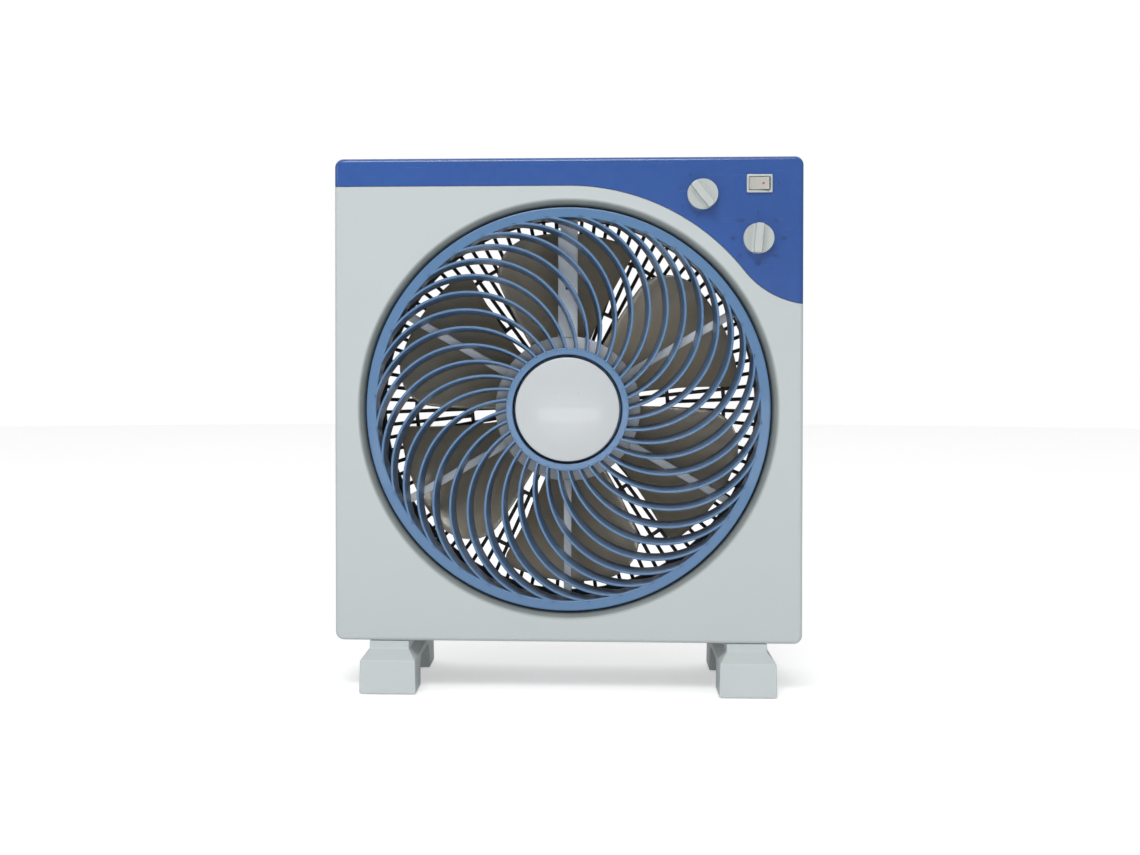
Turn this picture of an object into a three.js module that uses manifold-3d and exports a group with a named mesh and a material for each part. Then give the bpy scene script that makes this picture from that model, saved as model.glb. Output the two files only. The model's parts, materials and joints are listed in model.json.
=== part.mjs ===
// Square box fan with a rotating louvre grille, built as an assembly.
// Millimetres, +Z up. The fan blows towards -Y, +X is to the right seen from the front.
// The origin is on the floor, below the middle of the casing.
import * as THREE from 'three';
import { mergeVertices } from 'three/addons/utils/BufferGeometryUtils.js';
import Module from 'manifold-3d';

const wasm = await Module();
wasm.setup();

// ---------------------------------------------------------------------------
// Driving dimensions
// ---------------------------------------------------------------------------

const gap = 0.3; // between pieces that touch
const casing = { width: 386, height: 400, depth: 140, corner: 7, edge: 3, wall: 2.6 };
const depthScale = casing.depth / 140; // the louvre, the blades and the motors share the depth
const axisRise = 0.48125 * casing.height; // fan axis above the underside of the casing
const frontDepth = 60 * depthScale; // front shell, from the front face to the parting line
const border = 18; // casing left round the front opening, where it is narrowest
// the rounded edge of the front opening, from the face in to the duct
const recess = { radius: Math.min(casing.width / 2, axisRise) - border, inset: 6.5, depth: 14 };
const duct = { radius: recess.radius - recess.inset, wall: 2.6 };
const rearDuct = { radius: duct.radius + 3, wall: 2.5 };

const foot = { height: 43, beyond: 12, padWidth: 47, padHeight: 27, draft: 0.6, fromSide: 45 };
const footNeck = { width: 33, rise: 8, setback: 14 };
const footArch = { height: 24, round: 10 };
const rubber = { thickness: 2.4, proud: 1, length: 30, width: 33, inset: 7 };

const louvre = { front: 3, depth: 24 * depthScale, clearance: 1, ring: 8.4, hubInner: 45.4, hubOuter: 51 };
const vane = { count: 36, first: 1, thickness: 2, sweep: 66.6, overrun: 4.8, slant: 1.7, bite: 1.6 };
const louvreHub = { web: 2.6, bossRadius: 8, bossLength: 15 };
const cap = { radius: 43, rise: 3.4, wall: 2.4, skirt: 6 };

const bracket = { hubRadius: 61, plate: 3, rim: 2.5, depth: 9, armWidth: 6.5, armCount: 6 };
const bracketPad = { radius: 6.5, plate: 4, circle: duct.radius + 10 };
const channel = { width: 16.5, wall: 2, eye: 4, eyeShare: 0.383, notch: 5, notchShare: 0.832 };
const topArm = 90; // degrees, the wide arm that carries the lead
const louvreMotor = { radius: 25, depth: 15 * depthScale, shaft: 3.5, shaftSeat: 10 };
const motorEar = { thickness: 2, circle: louvreMotor.radius + 5, radius: 4 };

const impeller = { blades: 6, tipRoom: 21, hubRadius: 38, hubLength: 27 * depthScale, wall: 2.5, nutRoom: 2.7 };
const firstBlade = 73.5; // degrees from +X
const blade = { thickness: 2, rootDepth: 24 * depthScale, tipDepth: 37 * depthScale, camber: 4 };
const bladeEdge = { rootLow: 0, tipLow: -7, rootHigh: 48, highSweep: 4, lowRound: 5, highRound: 15 };
const spinner = { radius: 14, length: 5.7 };

const motor = { radius: 41.5, wall: 2, shoulder: 11.5, bellPlate: 2.5, frontBell: 16.3, rearBell: 11.7 };
const stack = { bore: 22, coilInner: 24, coilOuter: motor.radius - 4.5, coilDepth: 5 };
const shaft = { radius: 4, beyondHub: 2.5 };
const bearing = { radius: 8, length: 6, housing: 2.7 };
const rotor = { airGap: 0.5, overhang: 1.2 };

const grille = {
  fromBack: 12,
  thickness: 4.5,
  rim: rearDuct.radius + 5,
  rimWidth: 10.4,
  bar: 3.3,
  spokes: 90,
  first: -1.8,
};
const grilleRings = [0.5, 0.784]; // middle radius of each ring, as a share of the rim's
const grillePlate = { radius: 48, slots: 12, slotInner: 35, slotOuter: 44, slotWidth: 4.5 };
const seatWall = 2.7; // wall of the round seat that holds the grille

const panel = { wall: 2.5, lip: 26, border: 10.2, cornerDrop: 122, sweep: 73, bed: 2.2, lap: 3 };
const tick = { width: 1.3, length: 3, depth: 0.4 };
const speed = { fromRight: 82.5, fromTop: 31, body: 30, depth: 22, pointer: 128, marks: 4, markStart: 122 };
const timer = { fromRight: 37, fromTop: 67.2, body: 38, depth: 26, pointer: 85, marks: 8, markStart: 90 };
const markStep = 45;
const knob = { radius: 12.5, height: 11.2, base: 4.5, bar: 5.4, scoop: 14, markSpeed: 19, markTimer: 20.6 };
const spindle = { radius: 3, seat: 8, intoKnob: 7, hole: 4 };
const rocker = { fromRight: 36, fromTop: 22.3, width: 21, height: 15, bezel: 2, rim: 1.9, depth: 20 };
const paddle = { play: 0.5, rise: 2.6, sink: 2.4, pocket: 7.5, tilt: 8 };

const screw = { head: 3.2, headHeight: 1.8, shank: 1.5, hole: 1.8 };
const casingScrew = { inset: 14, post: 5.5, head: 4, shank: 1.8, hole: 2.1, length: 28, sink: 12, well: 4.5 };
const grilleScrewCircle = grille.rim - 5;
const motorScrewCircle = 27;
const capacitor = { width: 40, depth: 28, height: 16, fromSide: 44, fromBottom: 26, fromBack: 38 };
const gland = { radius: 7.7, hole: 3.7, flange: 10, flangeDepth: 2.4, length: 11, fromSide: 28, fromBottom: 27 };
const lead = { radius: 1.8, thin: 1.5, sides: 6 };
const motorLead = { angle: 46, fromGrille: 6 };

// facets round the large rings, the hubs, the motor and the small pins
const casingTurns = 60;
const hubTurns = 30;
const motorTurns = 20;
const smallTurns = 12;
const postTurns = 10;
const screwTurns = 6;
const shankTurns = 5;

// ---------------------------------------------------------------------------
// Places worked out from the driving dimensions. Heights are from the fan axis.
// ---------------------------------------------------------------------------

const axisZ = foot.height + axisRise;
const frontY = -casing.depth / 2;
const backY = casing.depth / 2;
const partingY = frontY + frontDepth;
const side = casing.width / 2;
const bottom = -axisRise;
const top = casing.height - axisRise;

const footLength = casing.depth + 2 * foot.beyond;
const footX = side - foot.fromSide;
const padLand = rubber.length + 2 * rubber.inset; // foot length taken by one rubber pad
const padMiddle = (footLength - padLand) / 2;
const padPlaces = [-padMiddle, padMiddle];

const ringOuter = duct.radius - louvre.clearance;
const ringInner = ringOuter - louvre.ring;
const louvreFront = frontY + louvre.front;
const louvreBack = louvreFront + louvre.depth;
const louvreShaftFront = louvreBack - louvreHub.bossLength + 1.5;
const bracketFront = louvreBack + 2;
const ductBack = bracketFront - gap;
const bracketBack = bracketFront + bracket.depth;
const plateBack = bracketFront + bracket.plate;
const louvreMotorFront = plateBack + gap;
const louvreMotorBack = louvreMotorFront + louvreMotor.depth;
const armAngles = Array.from({ length: bracket.armCount }, (_, i) => topArm + (i * 360) / bracket.armCount);

const impellerFront = louvreMotorBack + impeller.nutRoom + spinner.length + gap;
const impellerBack = impellerFront + impeller.hubLength;
const tipRadius = rearDuct.radius - impeller.tipRoom;
const shaftFront = impellerFront - shaft.beyondHub;

const grilleFront = backY - grille.fromBack;
const grilleBack = grilleFront + grille.thickness;
const grilleInner = grille.rim - grille.rimWidth;
const motorFront = impellerBack + 1;
const motorBack = grilleFront - gap;
const stackFront = motorFront + motor.frontBell;
const stackBack = motorBack - motor.rearBell;
const bellFrontEnd = stackFront - gap;
const bellRearEnd = stackBack + gap;

const panelArc = recess.radius + panel.border; // radius of the lower edge, concentric with the fan
const bedBack = frontY + panel.wall + gap + panel.bed;
const switchFront = bedBack + gap;
const speedAt = { x: side - speed.fromRight, z: top - speed.fromTop };
const timerAt = { x: side - timer.fromRight, z: top - timer.fromTop };
const rockerAt = { x: side - rocker.fromRight, z: top - rocker.fromTop };
const postX = side - casingScrew.inset;
const posts = [
  { x: -postX, z: bottom + casingScrew.inset },
  { x: postX, z: bottom + casingScrew.inset },
  { x: -postX, z: top - casingScrew.inset },
  { x: postX, z: top - casingScrew.inset },
];

// ---------------------------------------------------------------------------
// Shape helpers
// ---------------------------------------------------------------------------

const radians = THREE.MathUtils.degToRad;
const { lerp } = THREE.MathUtils;

/** A closed geometry as a solid for joining and cutting, its faces turned outwards. */
function solid(geometry) {
  const bare = geometry.clone();
  bare.deleteAttribute('normal');
  bare.deleteAttribute('uv');
  const merged = mergeVertices(bare);
  const points = merged.attributes.position;
  const corner = [0, 1, 2].map(() => new THREE.Vector3());
  const triangles = [];
  let volume = 0;
  for (let i = 0; i < merged.index.count; i += 3) {
    const ids = [0, 1, 2].map((k) => merged.index.getX(i + k));
    if (new Set(ids).size < 3) continue;
    ids.forEach((id, k) => corner[k].fromBufferAttribute(points, id));
    volume += corner[0].dot(corner[1].clone().cross(corner[2]));
    triangles.push(ids);
  }
  const outward = volume < 0 ? triangles.map((ids) => ids.slice().reverse()) : triangles;
  return new wasm.Manifold(
    new wasm.Mesh({
      numProp: 3,
      vertProperties: new Float32Array(points.array),
      triVerts: new Uint32Array(outward.flat()),
    }),
  );
}

/** The triangles of a solid as a three.js geometry. */
function geometryOf(shape) {
  const { vertProperties, triVerts } = shape.getMesh();
  const geometry = new THREE.BufferGeometry();
  geometry.setAttribute('position', new THREE.BufferAttribute(vertProperties, 3));
  geometry.setIndex(new THREE.BufferAttribute(triVerts, 1));
  geometry.computeVertexNormals();
  return geometry;
}

const join = (first, ...others) => others.reduce((sum, piece) => sum.add(piece), first);
const cut = (first, ...others) => others.reduce((rest, piece) => rest.subtract(piece), first);

/** Turns a geometry about the fan axis, anticlockwise seen from the front. */
const turned = (geometry, degrees) => geometry.rotateY(-radians(degrees));

/** A place on a circle about the fan axis, anticlockwise from +X seen from the front. */
function onCircle(radius, degrees) {
  return { x: radius * Math.cos(radians(degrees)), z: radius * Math.sin(radians(degrees)) };
}

/** A round bar along Y. */
function bar(radius, from, to, at = { x: 0, z: 0 }, sides = smallTurns) {
  const cylinder = new THREE.CylinderGeometry(radius, radius, to - from, sides);
  return solid(cylinder.translate(at.x, (from + to) / 2, at.z));
}

/** A solid of revolution about the fan axis, from [radius, y] points. */
function revolved(profile, turns = hubTurns) {
  const points = profile.map(([radius, y]) => new THREE.Vector2(radius, y));
  return solid(new THREE.LatheGeometry(points, turns));
}

/** A flat-ended ring about the fan axis. */
function ring(inner, outer, from, to, turns = hubTurns) {
  const loop = [[inner, from], [outer, from], [outer, to], [inner, to], [inner, from]];
  return revolved(loop, turns);
}

/** A box between two corners. */
function box([x0, y0, z0], [x1, y1, z1]) {
  const geometry = new THREE.BoxGeometry(x1 - x0, y1 - y0, z1 - z0);
  return solid(geometry.translate((x0 + x1) / 2, (y0 + y1) / 2, (z0 + z1) / 2));
}

/** A flat outline, drawn in x and z, made thick from one depth to another. */
function plate(outline, from, to, options = {}) {
  const settings = { depth: to - from, bevelEnabled: false, curveSegments: 6, ...options };
  const geometry = new THREE.ExtrudeGeometry(outline, settings);
  return geometry.rotateX(Math.PI / 2).translate(0, to, 0);
}

/** A slice of space across the casing, used to trim pieces to a stretch of depth. */
const slice = (from, to) => box([-2 * side, from, 2 * bottom], [2 * side, to, 2 * top]);

/** A bent round lead through [x, y, z] points. */
function cable(points, radius = lead.radius) {
  const path = new THREE.CatmullRomCurve3(points.map((p) => new THREE.Vector3(...p)));
  const section = new THREE.Shape();
  section.absarc(0, 0, radius, 0, 2 * Math.PI);
  const steps = points.length * 2;
  const settings = { steps, extrudePath: path, curveSegments: lead.sides / 2 };
  return solid(new THREE.ExtrudeGeometry(section, settings));
}

/** A pan-head screw along Y, its head at the back. */
function panScrew(headFront, tip, at, size = screw) {
  const head = bar(size.head, headFront, headFront + screw.headHeight, at, screwTurns);
  return join(head, bar(size.shank, tip, headFront + 0.4, at, shankTurns));
}

// ---------------------------------------------------------------------------
// Casing
// ---------------------------------------------------------------------------

/** The whole casing as a block with rounded edges, made smaller by an inset on every side. */
function casingBlock(inset) {
  const corner = Math.max(casing.corner - inset, 1.2);
  const edge = Math.max(casing.edge - inset, 0.5);
  const [left, right, low, high] = [-side + inset, side - inset, bottom + inset, top - inset];
  const outline = new THREE.Shape();
  outline.moveTo(left + corner, low);
  outline.absarc(right - corner, low + corner, corner, -Math.PI / 2, 0);
  outline.absarc(right - corner, high - corner, corner, 0, Math.PI / 2);
  outline.absarc(left + corner, high - corner, corner, Math.PI / 2, Math.PI);
  outline.absarc(left + corner, low + corner, corner, Math.PI, 1.5 * Math.PI);
  const bevel = { bevelEnabled: true, bevelSize: edge, bevelOffset: -edge, bevelThickness: edge };
  const ends = { ...bevel, bevelSegments: inset > 0 ? 1 : 2, curveSegments: inset > 0 ? 1 : 2 };
  return solid(plate(outline, frontY + inset + edge, backY - inset - edge, ends));
}

const outerBlock = casingBlock(0);
const hollowShell = cut(outerBlock, casingBlock(casing.wall));

/** The control panel's face: a strip along the top that sweeps down round the opening. */
function panelZone(grow, depth) {
  const arc = panelArc - grow;
  const low = top - panel.cornerDrop - grow;
  const bend = panel.sweep + grow;
  const centreZ = low + bend;
  const centreX = Math.sqrt((arc + bend) ** 2 - centreZ ** 2);
  const turn = Math.atan2(centreZ, centreX);
  const farX = Math.max(side, centreX) + 10;
  const outline = new THREE.Shape();
  outline.moveTo(-side - 10, top + 10);
  outline.lineTo(-side - 10, arc);
  outline.lineTo(0, arc);
  outline.absarc(0, 0, arc, Math.PI / 2, turn, true);
  outline.absarc(centreX, centreZ, bend, Math.PI + turn, 1.5 * Math.PI);
  outline.lineTo(farX, low);
  outline.lineTo(farX, top + 10);
  return solid(plate(outline, frontY - 10, frontY + depth, { curveSegments: 6 }));
}

/** Dial marks cut into the panel's face round a knob. */
function dialMarks(at, circle, start, count, step) {
  return Array.from({ length: count }, (_, i) => {
    const mark = new THREE.BoxGeometry(tick.length, 2 * tick.depth, tick.width);
    turned(mark.translate(circle, 0, 0), start + i * step);
    return solid(mark.translate(at.x, frontY, at.z));
  });
}

function controlPanel() {
  const skin = outerBlock.subtract(casingBlock(panel.wall)).intersect(panelZone(0, panel.lip));
  const through = [frontY - 5, frontY + panel.wall + 5];
  const halfWidth = rocker.width / 2 - 1 + gap;
  const halfHeight = rocker.height / 2 - 1 + gap;
  return cut(
    skin,
    bar(spindle.hole, ...through, speedAt),
    bar(spindle.hole, ...through, timerAt),
    box(
      [rockerAt.x - halfWidth, through[0], rockerAt.z - halfHeight],
      [rockerAt.x + halfWidth, through[1], rockerAt.z + halfHeight],
    ),
    ...dialMarks(speedAt, knob.markSpeed, speed.markStart, speed.marks, markStep),
    ...dialMarks(timerAt, knob.markTimer, timer.markStart, timer.marks, markStep),
  );
}

function frontShell() {
  const shell = hollowShell.intersect(slice(frontY - 5, partingY));
  const inset = panel.wall + gap;
  const bedDepth = panel.lip + panel.lap;
  const bed = casingBlock(casing.wall - 0.6).subtract(casingBlock(inset + panel.bed));
  const seat = panelZone(gap, panel.lip + gap).subtract(casingBlock(inset));
  const wallOuter = duct.radius + duct.wall;
  const collar = revolved([
    [0, frontY + 0.5],
    [recess.radius + 1.5, frontY + 0.5],
    [recess.radius + 1.5, frontY + casing.wall],
    [wallOuter, frontY + recess.depth + casing.wall],
    [wallOuter, ductBack],
    [0, ductBack],
  ], casingTurns);
  const rounding = [0, 30, 60, 90].map((bend) => [
    recess.radius - recess.inset * Math.sin(radians(bend)),
    frontY + recess.depth * (1 - Math.cos(radians(bend))),
  ]);
  const bore = revolved([
    [0, frontY - 1],
    [recess.radius + 1, frontY - 1],
    ...rounding,
    [duct.radius, ductBack + 1],
    [0, ductBack + 1],
  ], casingTurns);
  const bosses = armAngles.slice(1).flatMap((angle) => {
    const length = bracketPad.circle - duct.radius;
    const web = new THREE.BoxGeometry(length, ductBack - frontY - 10, 3);
    web.translate(duct.radius + 1 + length / 2, (ductBack + frontY + 10) / 2, 0);
    const boss = bar(4.5, frontY + 10, ductBack, onCircle(bracketPad.circle, angle), postTurns);
    return [boss, solid(turned(web, angle))];
  });
  const screwedArms = armAngles.slice(1).map((angle) => onCircle(bracketPad.circle, angle));
  const columns = posts.map((at) => bar(casingScrew.post, frontY + 1, partingY, at, postTurns));
  const pilots = [
    ...screwedArms.map((at) => bar(screw.hole, ductBack - 14, ductBack + 1, at, screwTurns)),
    ...posts.map((at) => bar(casingScrew.hole, partingY - 20, partingY + 1, at, screwTurns)),
  ];
  const behindPanel = [frontY - 5, bedBack + 5];
  const windows = [
    bar(spindle.hole + 2, ...behindPanel, speedAt),
    bar(spindle.hole + 2, ...behindPanel, timerAt),
    box(
      [rockerAt.x - rocker.width / 2, behindPanel[0], rockerAt.z - rocker.height / 2],
      [rockerAt.x + rocker.width / 2, behindPanel[1], rockerAt.z + rocker.height / 2],
    ),
  ];
  const body = join(shell, bed.intersect(panelZone(panel.lap, bedDepth)), collar, ...bosses, ...columns);
  return cut(body, seat, bore, ...windows, ...pilots);
}

function rearShell() {
  const shell = hollowShell.intersect(slice(partingY + gap, backY + 5));
  const seatRadius = grille.rim + gap;
  const ledge = grilleFront - gap;
  const collar = revolved([
    [0, bracketBack + gap],
    [rearDuct.radius + rearDuct.wall, bracketBack + gap],
    [rearDuct.radius + rearDuct.wall, ledge - 6],
    [seatRadius + seatWall, ledge - 3],
    [seatRadius + seatWall, backY - 0.5],
    [0, backY - 0.5],
  ], casingTurns);
  const bore = revolved([
    [0, bracketBack - 1],
    [rearDuct.radius, bracketBack - 1],
    [rearDuct.radius, ledge],
    [seatRadius, ledge],
    [seatRadius, backY - 1.5],
    [seatRadius + 2.5, backY + 1],
    [0, backY + 1],
  ], casingTurns);
  const columns = posts.map((at) => bar(casingScrew.post, partingY + gap, backY - 1, at, postTurns));
  const wellEnd = partingY + casingScrew.sink;
  const glandAt = { x: side - gland.fromSide, z: bottom + gland.fromBottom };
  const leadHole = new THREE.CylinderGeometry(lead.radius + 1, lead.radius + 1, 16, screwTurns).rotateZ(Math.PI / 2);
  leadHole.translate(rearDuct.radius, grilleFront - motorLead.fromGrille, 0);
  const holes = [
    ...posts.map((at) => bar(casingScrew.hole, partingY - 1, backY + 1, at, screwTurns)),
    ...posts.map((at) => bar(casingScrew.well, wellEnd, backY + 1, at, postTurns)),
    ...grilleScrewPlaces().map((at) => bar(screw.hole, ledge - 2.4, ledge + 1, at, screwTurns)),
    bar(gland.radius + gap, backY - casing.wall - 1, backY + 1, glandAt),
    solid(turned(leadHole, motorLead.angle)),
  ];
  return cut(join(shell, collar, ...columns), bore, ...holes);
}

// ---------------------------------------------------------------------------
// Rear grille
// ---------------------------------------------------------------------------

function grilleScrewPlaces() {
  return [45, 135, 225, 315].map((angle) => onCircle(grilleScrewCircle, angle));
}

function motorScrewPlaces() {
  return [45, 135, 225, 315].map((angle) => onCircle(motorScrewCircle, angle));
}

/** The opening between two bars and two rings of the grille, cut right through. */
function grilleWindow(inner, outer, middle, pitch) {
  const corner = (radius, sideways) => {
    const half = radians(pitch / 2) - Math.asin(grille.bar / 2 / radius);
    const angle = radians(middle) + sideways * half;
    return new THREE.Vector2(radius * Math.cos(angle), radius * Math.sin(angle));
  };
  const corners = [corner(inner, -1), corner(outer, -1), corner(outer, 1), corner(inner, 1)];
  return solid(plate(new THREE.Shape(corners), grilleFront - 1, grilleBack + 1));
}

function rearGrille() {
  const half = grille.bar / 2;
  const middles = grilleRings.map((share) => share * grille.rim);
  const rings = [grillePlate.radius - half, ...middles, grilleInner + half];
  const windows = rings.slice(1).flatMap((outer, band) => {
    const count = band === 0 ? grille.spokes / 2 : grille.spokes;
    const pitch = 360 / count;
    const angles = Array.from({ length: count }, (_, i) => grille.first + (i + 0.5) * pitch);
    return angles.map((angle) => grilleWindow(rings[band] + half, outer - half, angle, pitch));
  });
  const slots = Array.from({ length: grillePlate.slots }, (_, i) => {
    const { slotInner, slotOuter, slotWidth } = grillePlate;
    const slot = new THREE.BoxGeometry(slotOuter - slotInner, 3 * grille.thickness, slotWidth);
    slot.translate((slotInner + slotOuter) / 2, grilleFront, 0);
    return solid(turned(slot, ((i + 0.5) * 360) / grillePlate.slots));
  });
  const holes = [...grilleScrewPlaces(), ...motorScrewPlaces()].map((at) =>
    bar(screw.hole, grilleFront - 1, grilleBack + 1, at, screwTurns),
  );
  const disc = bar(grille.rim, grilleFront, grilleBack, undefined, casingTurns);
  return cut(disc, join(...windows, ...slots, ...holes));
}

// ---------------------------------------------------------------------------
// Rotating louvre
// ---------------------------------------------------------------------------

/** One curved vane, from the hub to the outer ring, its back edge turned on by the slant. */
function louvreVane() {
  const peak = ringInner + vane.overrun;
  const root = louvre.hubOuter;
  const swing = radians(vane.sweep);
  const centre = (peak ** 2 - root ** 2) / (2 * (peak - root * Math.cos(swing)));
  const bend = peak - centre;
  const angleAt = (radius) => {
    const cosine = (radius ** 2 - centre ** 2 - bend ** 2) / (2 * centre * bend);
    return swing - Math.acos(cosine);
  };
  const start = angleAt(root - vane.bite);
  const end = angleAt(ringInner + vane.bite);
  const half = vane.thickness / 2;
  const [centreX, centreZ] = [centre * Math.cos(swing), centre * Math.sin(swing)];
  const outline = new THREE.Shape();
  outline.absarc(centreX, centreZ, bend + half, start, end);
  outline.absarc(centreX, centreZ, bend - half, end, start, true);
  const strip = plate(outline, louvreFront, louvreBack, { curveSegments: 4 });
  const points = strip.attributes.position;
  const point = new THREE.Vector3();
  const upAxis = new THREE.Vector3(0, 1, 0);
  for (let i = 0; i < points.count; i += 1) {
    point.fromBufferAttribute(points, i);
    const share = (point.y - louvreFront) / louvre.depth;
    point.applyAxisAngle(upAxis, -radians(vane.slant * share));
    points.setXYZ(i, point.x, point.y, point.z);
  }
  return strip;
}

function louvreGrille() {
  const webFront = louvreBack - louvreHub.web;
  const vanes = Array.from({ length: vane.count }, (_, i) =>
    solid(turned(louvreVane(), vane.first + (i * 360) / vane.count)),
  );
  const body = join(
    ring(ringInner, ringOuter, louvreFront, louvreBack, casingTurns),
    ring(louvre.hubInner, louvre.hubOuter, louvreFront, louvreBack),
    ...vanes,
    ring(louvreHub.bossRadius - 2, louvre.hubInner + 1, webFront, louvreBack),
    bar(louvreHub.bossRadius, louvreBack - louvreHub.bossLength, louvreBack),
  );
  return cut(body, bar(louvreMotor.shaft + gap, frontY, louvreBack + 1));
}

/** The domed cap that closes the louvre's hub. */
function louvreCap() {
  const edgeY = louvreFront + cap.skirt;
  const crown = louvreFront - cap.rise;
  const arc = (radius, middle, inset) => {
    const steps = 3;
    return Array.from({ length: steps + 1 }, (_, i) => {
      const share = i / steps;
      return [radius * share, middle + inset + (louvreFront - crown) * share ** 2.4];
    });
  };
  const outside = arc(cap.radius, crown, 0);
  const inside = arc(cap.radius - cap.wall, crown, cap.wall).reverse();
  return revolved([...outside, [cap.radius, edgeY], [cap.radius - cap.wall, edgeY], ...inside]);
}

function louvreShaft() {
  const body = bar(louvreMotor.shaft, louvreShaftFront, louvreMotorFront + louvreMotor.shaftSeat);
  return cut(body, bar(screw.hole, louvreShaftFront - 1, louvreShaftFront + 10, undefined, screwTurns));
}

/** The screw that holds the louvre on its shaft, driven from the front. */
function louvreScrew() {
  const headBack = louvreBack - louvreHub.bossLength - gap;
  const head = bar(louvreHub.bossRadius - 1.5, headBack - 2.2, headBack);
  return join(head, bar(screw.shank, headBack - 1, louvreShaftFront + 8, undefined, screwTurns));
}

function louvreMotorBody() {
  const ears = [0, 180].map((angle) => {
    const arm = new THREE.BoxGeometry(motorEar.circle, motorEar.thickness, 2 * motorEar.radius);
    arm.translate(motorEar.circle / 2, louvreMotorFront + motorEar.thickness / 2, 0);
    return solid(turned(arm, angle));
  });
  const earEnds = [0, 180].map((angle) => {
    const at = onCircle(motorEar.circle, angle);
    return bar(motorEar.radius, louvreMotorFront, louvreMotorFront + motorEar.thickness, at, postTurns);
  });
  const holes = [0, 180].map((angle) => {
    const at = onCircle(motorEar.circle, angle);
    return bar(screw.hole, louvreMotorFront - 1, louvreMotorFront + motorEar.thickness + 1, at, screwTurns);
  });
  const can = bar(louvreMotor.radius, louvreMotorFront, louvreMotorBack, undefined, motorTurns);
  const seat = louvreMotorFront + louvreMotor.shaftSeat + gap;
  return cut(join(can, ...ears, ...earEnds), bar(louvreMotor.shaft + gap, louvreMotorFront - 1, seat), ...holes);
}

// ---------------------------------------------------------------------------
// Front bracket: six arms and a disc, behind the louvre
// ---------------------------------------------------------------------------

function bracketArm(angle) {
  const start = bracket.hubRadius - bracket.rim / 2;
  const end = rearDuct.radius + 2;
  const isTop = angle === topArm;
  const width = isTop ? channel.width : bracket.armWidth;
  const beam = new THREE.BoxGeometry(end - start, bracket.depth, width);
  beam.translate((start + end) / 2, (bracketFront + bracketBack) / 2, 0);
  const body = solid(turned(beam, angle));
  if (!isTop) return body;
  const hollow = new THREE.BoxGeometry(end + 4 - bracket.hubRadius, bracket.depth, width - 2 * channel.wall);
  hollow.translate((end + 4 + bracket.hubRadius) / 2, (bracketFront + bracketBack) / 2 + channel.wall, 0);
  const eye = new THREE.BoxGeometry(channel.eye, 3 * channel.wall, channel.eye);
  const notch = new THREE.BoxGeometry(channel.notch, 3 * bracket.depth, channel.wall + 2);
  notch.translate(lerp(bracket.hubRadius, duct.radius, channel.notchShare), bracketFront, width / 2);
  eye.translate(lerp(bracket.hubRadius, duct.radius, channel.eyeShare), bracketFront, 0);
  return cut(body, solid(turned(hollow, angle)), solid(turned(eye, angle)), solid(turned(notch, angle)));
}

function frontBracket() {
  const rimInner = bracket.hubRadius - bracket.rim;
  const hub = join(
    bar(bracket.hubRadius, bracketFront, plateBack, undefined, hubTurns),
    ring(rimInner, bracket.hubRadius, bracketFront + 1, bracketBack),
  );
  const padPlaces = armAngles.slice(1).map((angle) => onCircle(bracketPad.circle, angle));
  const padBack = bracketFront + bracketPad.plate;
  const pads = padPlaces.map((at) => bar(bracketPad.radius, bracketFront, padBack, at, postTurns));
  const earPlaces = [0, 180].map((angle) => onCircle(motorEar.circle, angle));
  const channelFloor = new THREE.BoxGeometry(bracket.rim * 3, bracket.depth, channel.width - 2 * channel.wall);
  channelFloor.translate(bracket.hubRadius, bracketFront + channel.wall + 1.5 + bracket.depth / 2, 0);
  const holes = [
    ...padPlaces.map((at) => bar(screw.hole, bracketFront - 1, padBack + 1, at, screwTurns)),
    ...earPlaces.map((at) => bar(screw.hole, bracketFront - 1, plateBack + 1, at, postTurns)),
    bar(louvreMotor.shaft + 2, bracketFront - 1, plateBack + 1),
    solid(turned(channelFloor, topArm)),
  ];
  return cut(join(hub, ...armAngles.map(bracketArm), ...pads), ...holes);
}

// ---------------------------------------------------------------------------
// Impeller and motor
// ---------------------------------------------------------------------------

/** Quarter-round ease, 0 until the start and 1 at the end. */
function roundOff(share, start) {
  if (share <= start) return 0;
  return 1 - Math.sqrt(Math.max(1 - ((share - start) / (1 - start)) ** 2, 0));
}

/** One pitched and cambered blade, its low edge leading at the back. */
function impellerBlade() {
  const root = impeller.hubRadius - impeller.wall / 2;
  const middle = (impellerFront + impellerBack) / 2;
  const geometry = new THREE.BoxGeometry(1, 1, 1, 4, 1, 6);
  const points = geometry.attributes.position;
  for (let i = 0; i < points.count; i += 1) {
    const across = points.getX(i) + 0.5;
    const span = (points.getZ(i) + 0.5) ** 0.75;
    const radius = lerp(root, tipRadius, span);
    const low = lerp(bladeEdge.rootLow, bladeEdge.tipLow, span) + bladeEdge.lowRound * roundOff(span, 0.9);
    const high = bladeEdge.rootHigh - bladeEdge.highSweep * span ** 2 - bladeEdge.highRound * roundOff(span, 0.72);
    const angle = radians(lerp(low, high, across));
    const depth = lerp(blade.rootDepth, blade.tipDepth, span);
    const bow = blade.camber * 4 * across * (1 - across);
    const y = middle + depth * (0.5 - across) - bow + blade.thickness * points.getY(i);
    points.setXYZ(i, radius * Math.cos(angle), y, radius * Math.sin(angle));
  }
  return geometry;
}

function impellerBody() {
  const { hubRadius, wall } = impeller;
  const [front, back] = [impellerFront, impellerBack];
  const bore = shaft.radius + gap;
  const hub = revolved([
    [bore, front],
    [hubRadius - 8, front],
    [hubRadius, front + 6],
    [hubRadius, back],
    [hubRadius - wall, back],
    [hubRadius - wall, front + 7],
    [hubRadius - 9, front + wall + 0.5],
    [bore + 5, front + wall + 0.5],
    [bore + 5, back - 4],
    [bore, back - 4],
    [bore, front],
  ]);
  const blades = Array.from({ length: impeller.blades }, (_, i) =>
    solid(turned(impellerBlade(), firstBlade + (i * 360) / impeller.blades)),
  );
  return join(hub, ...blades);
}

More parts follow.
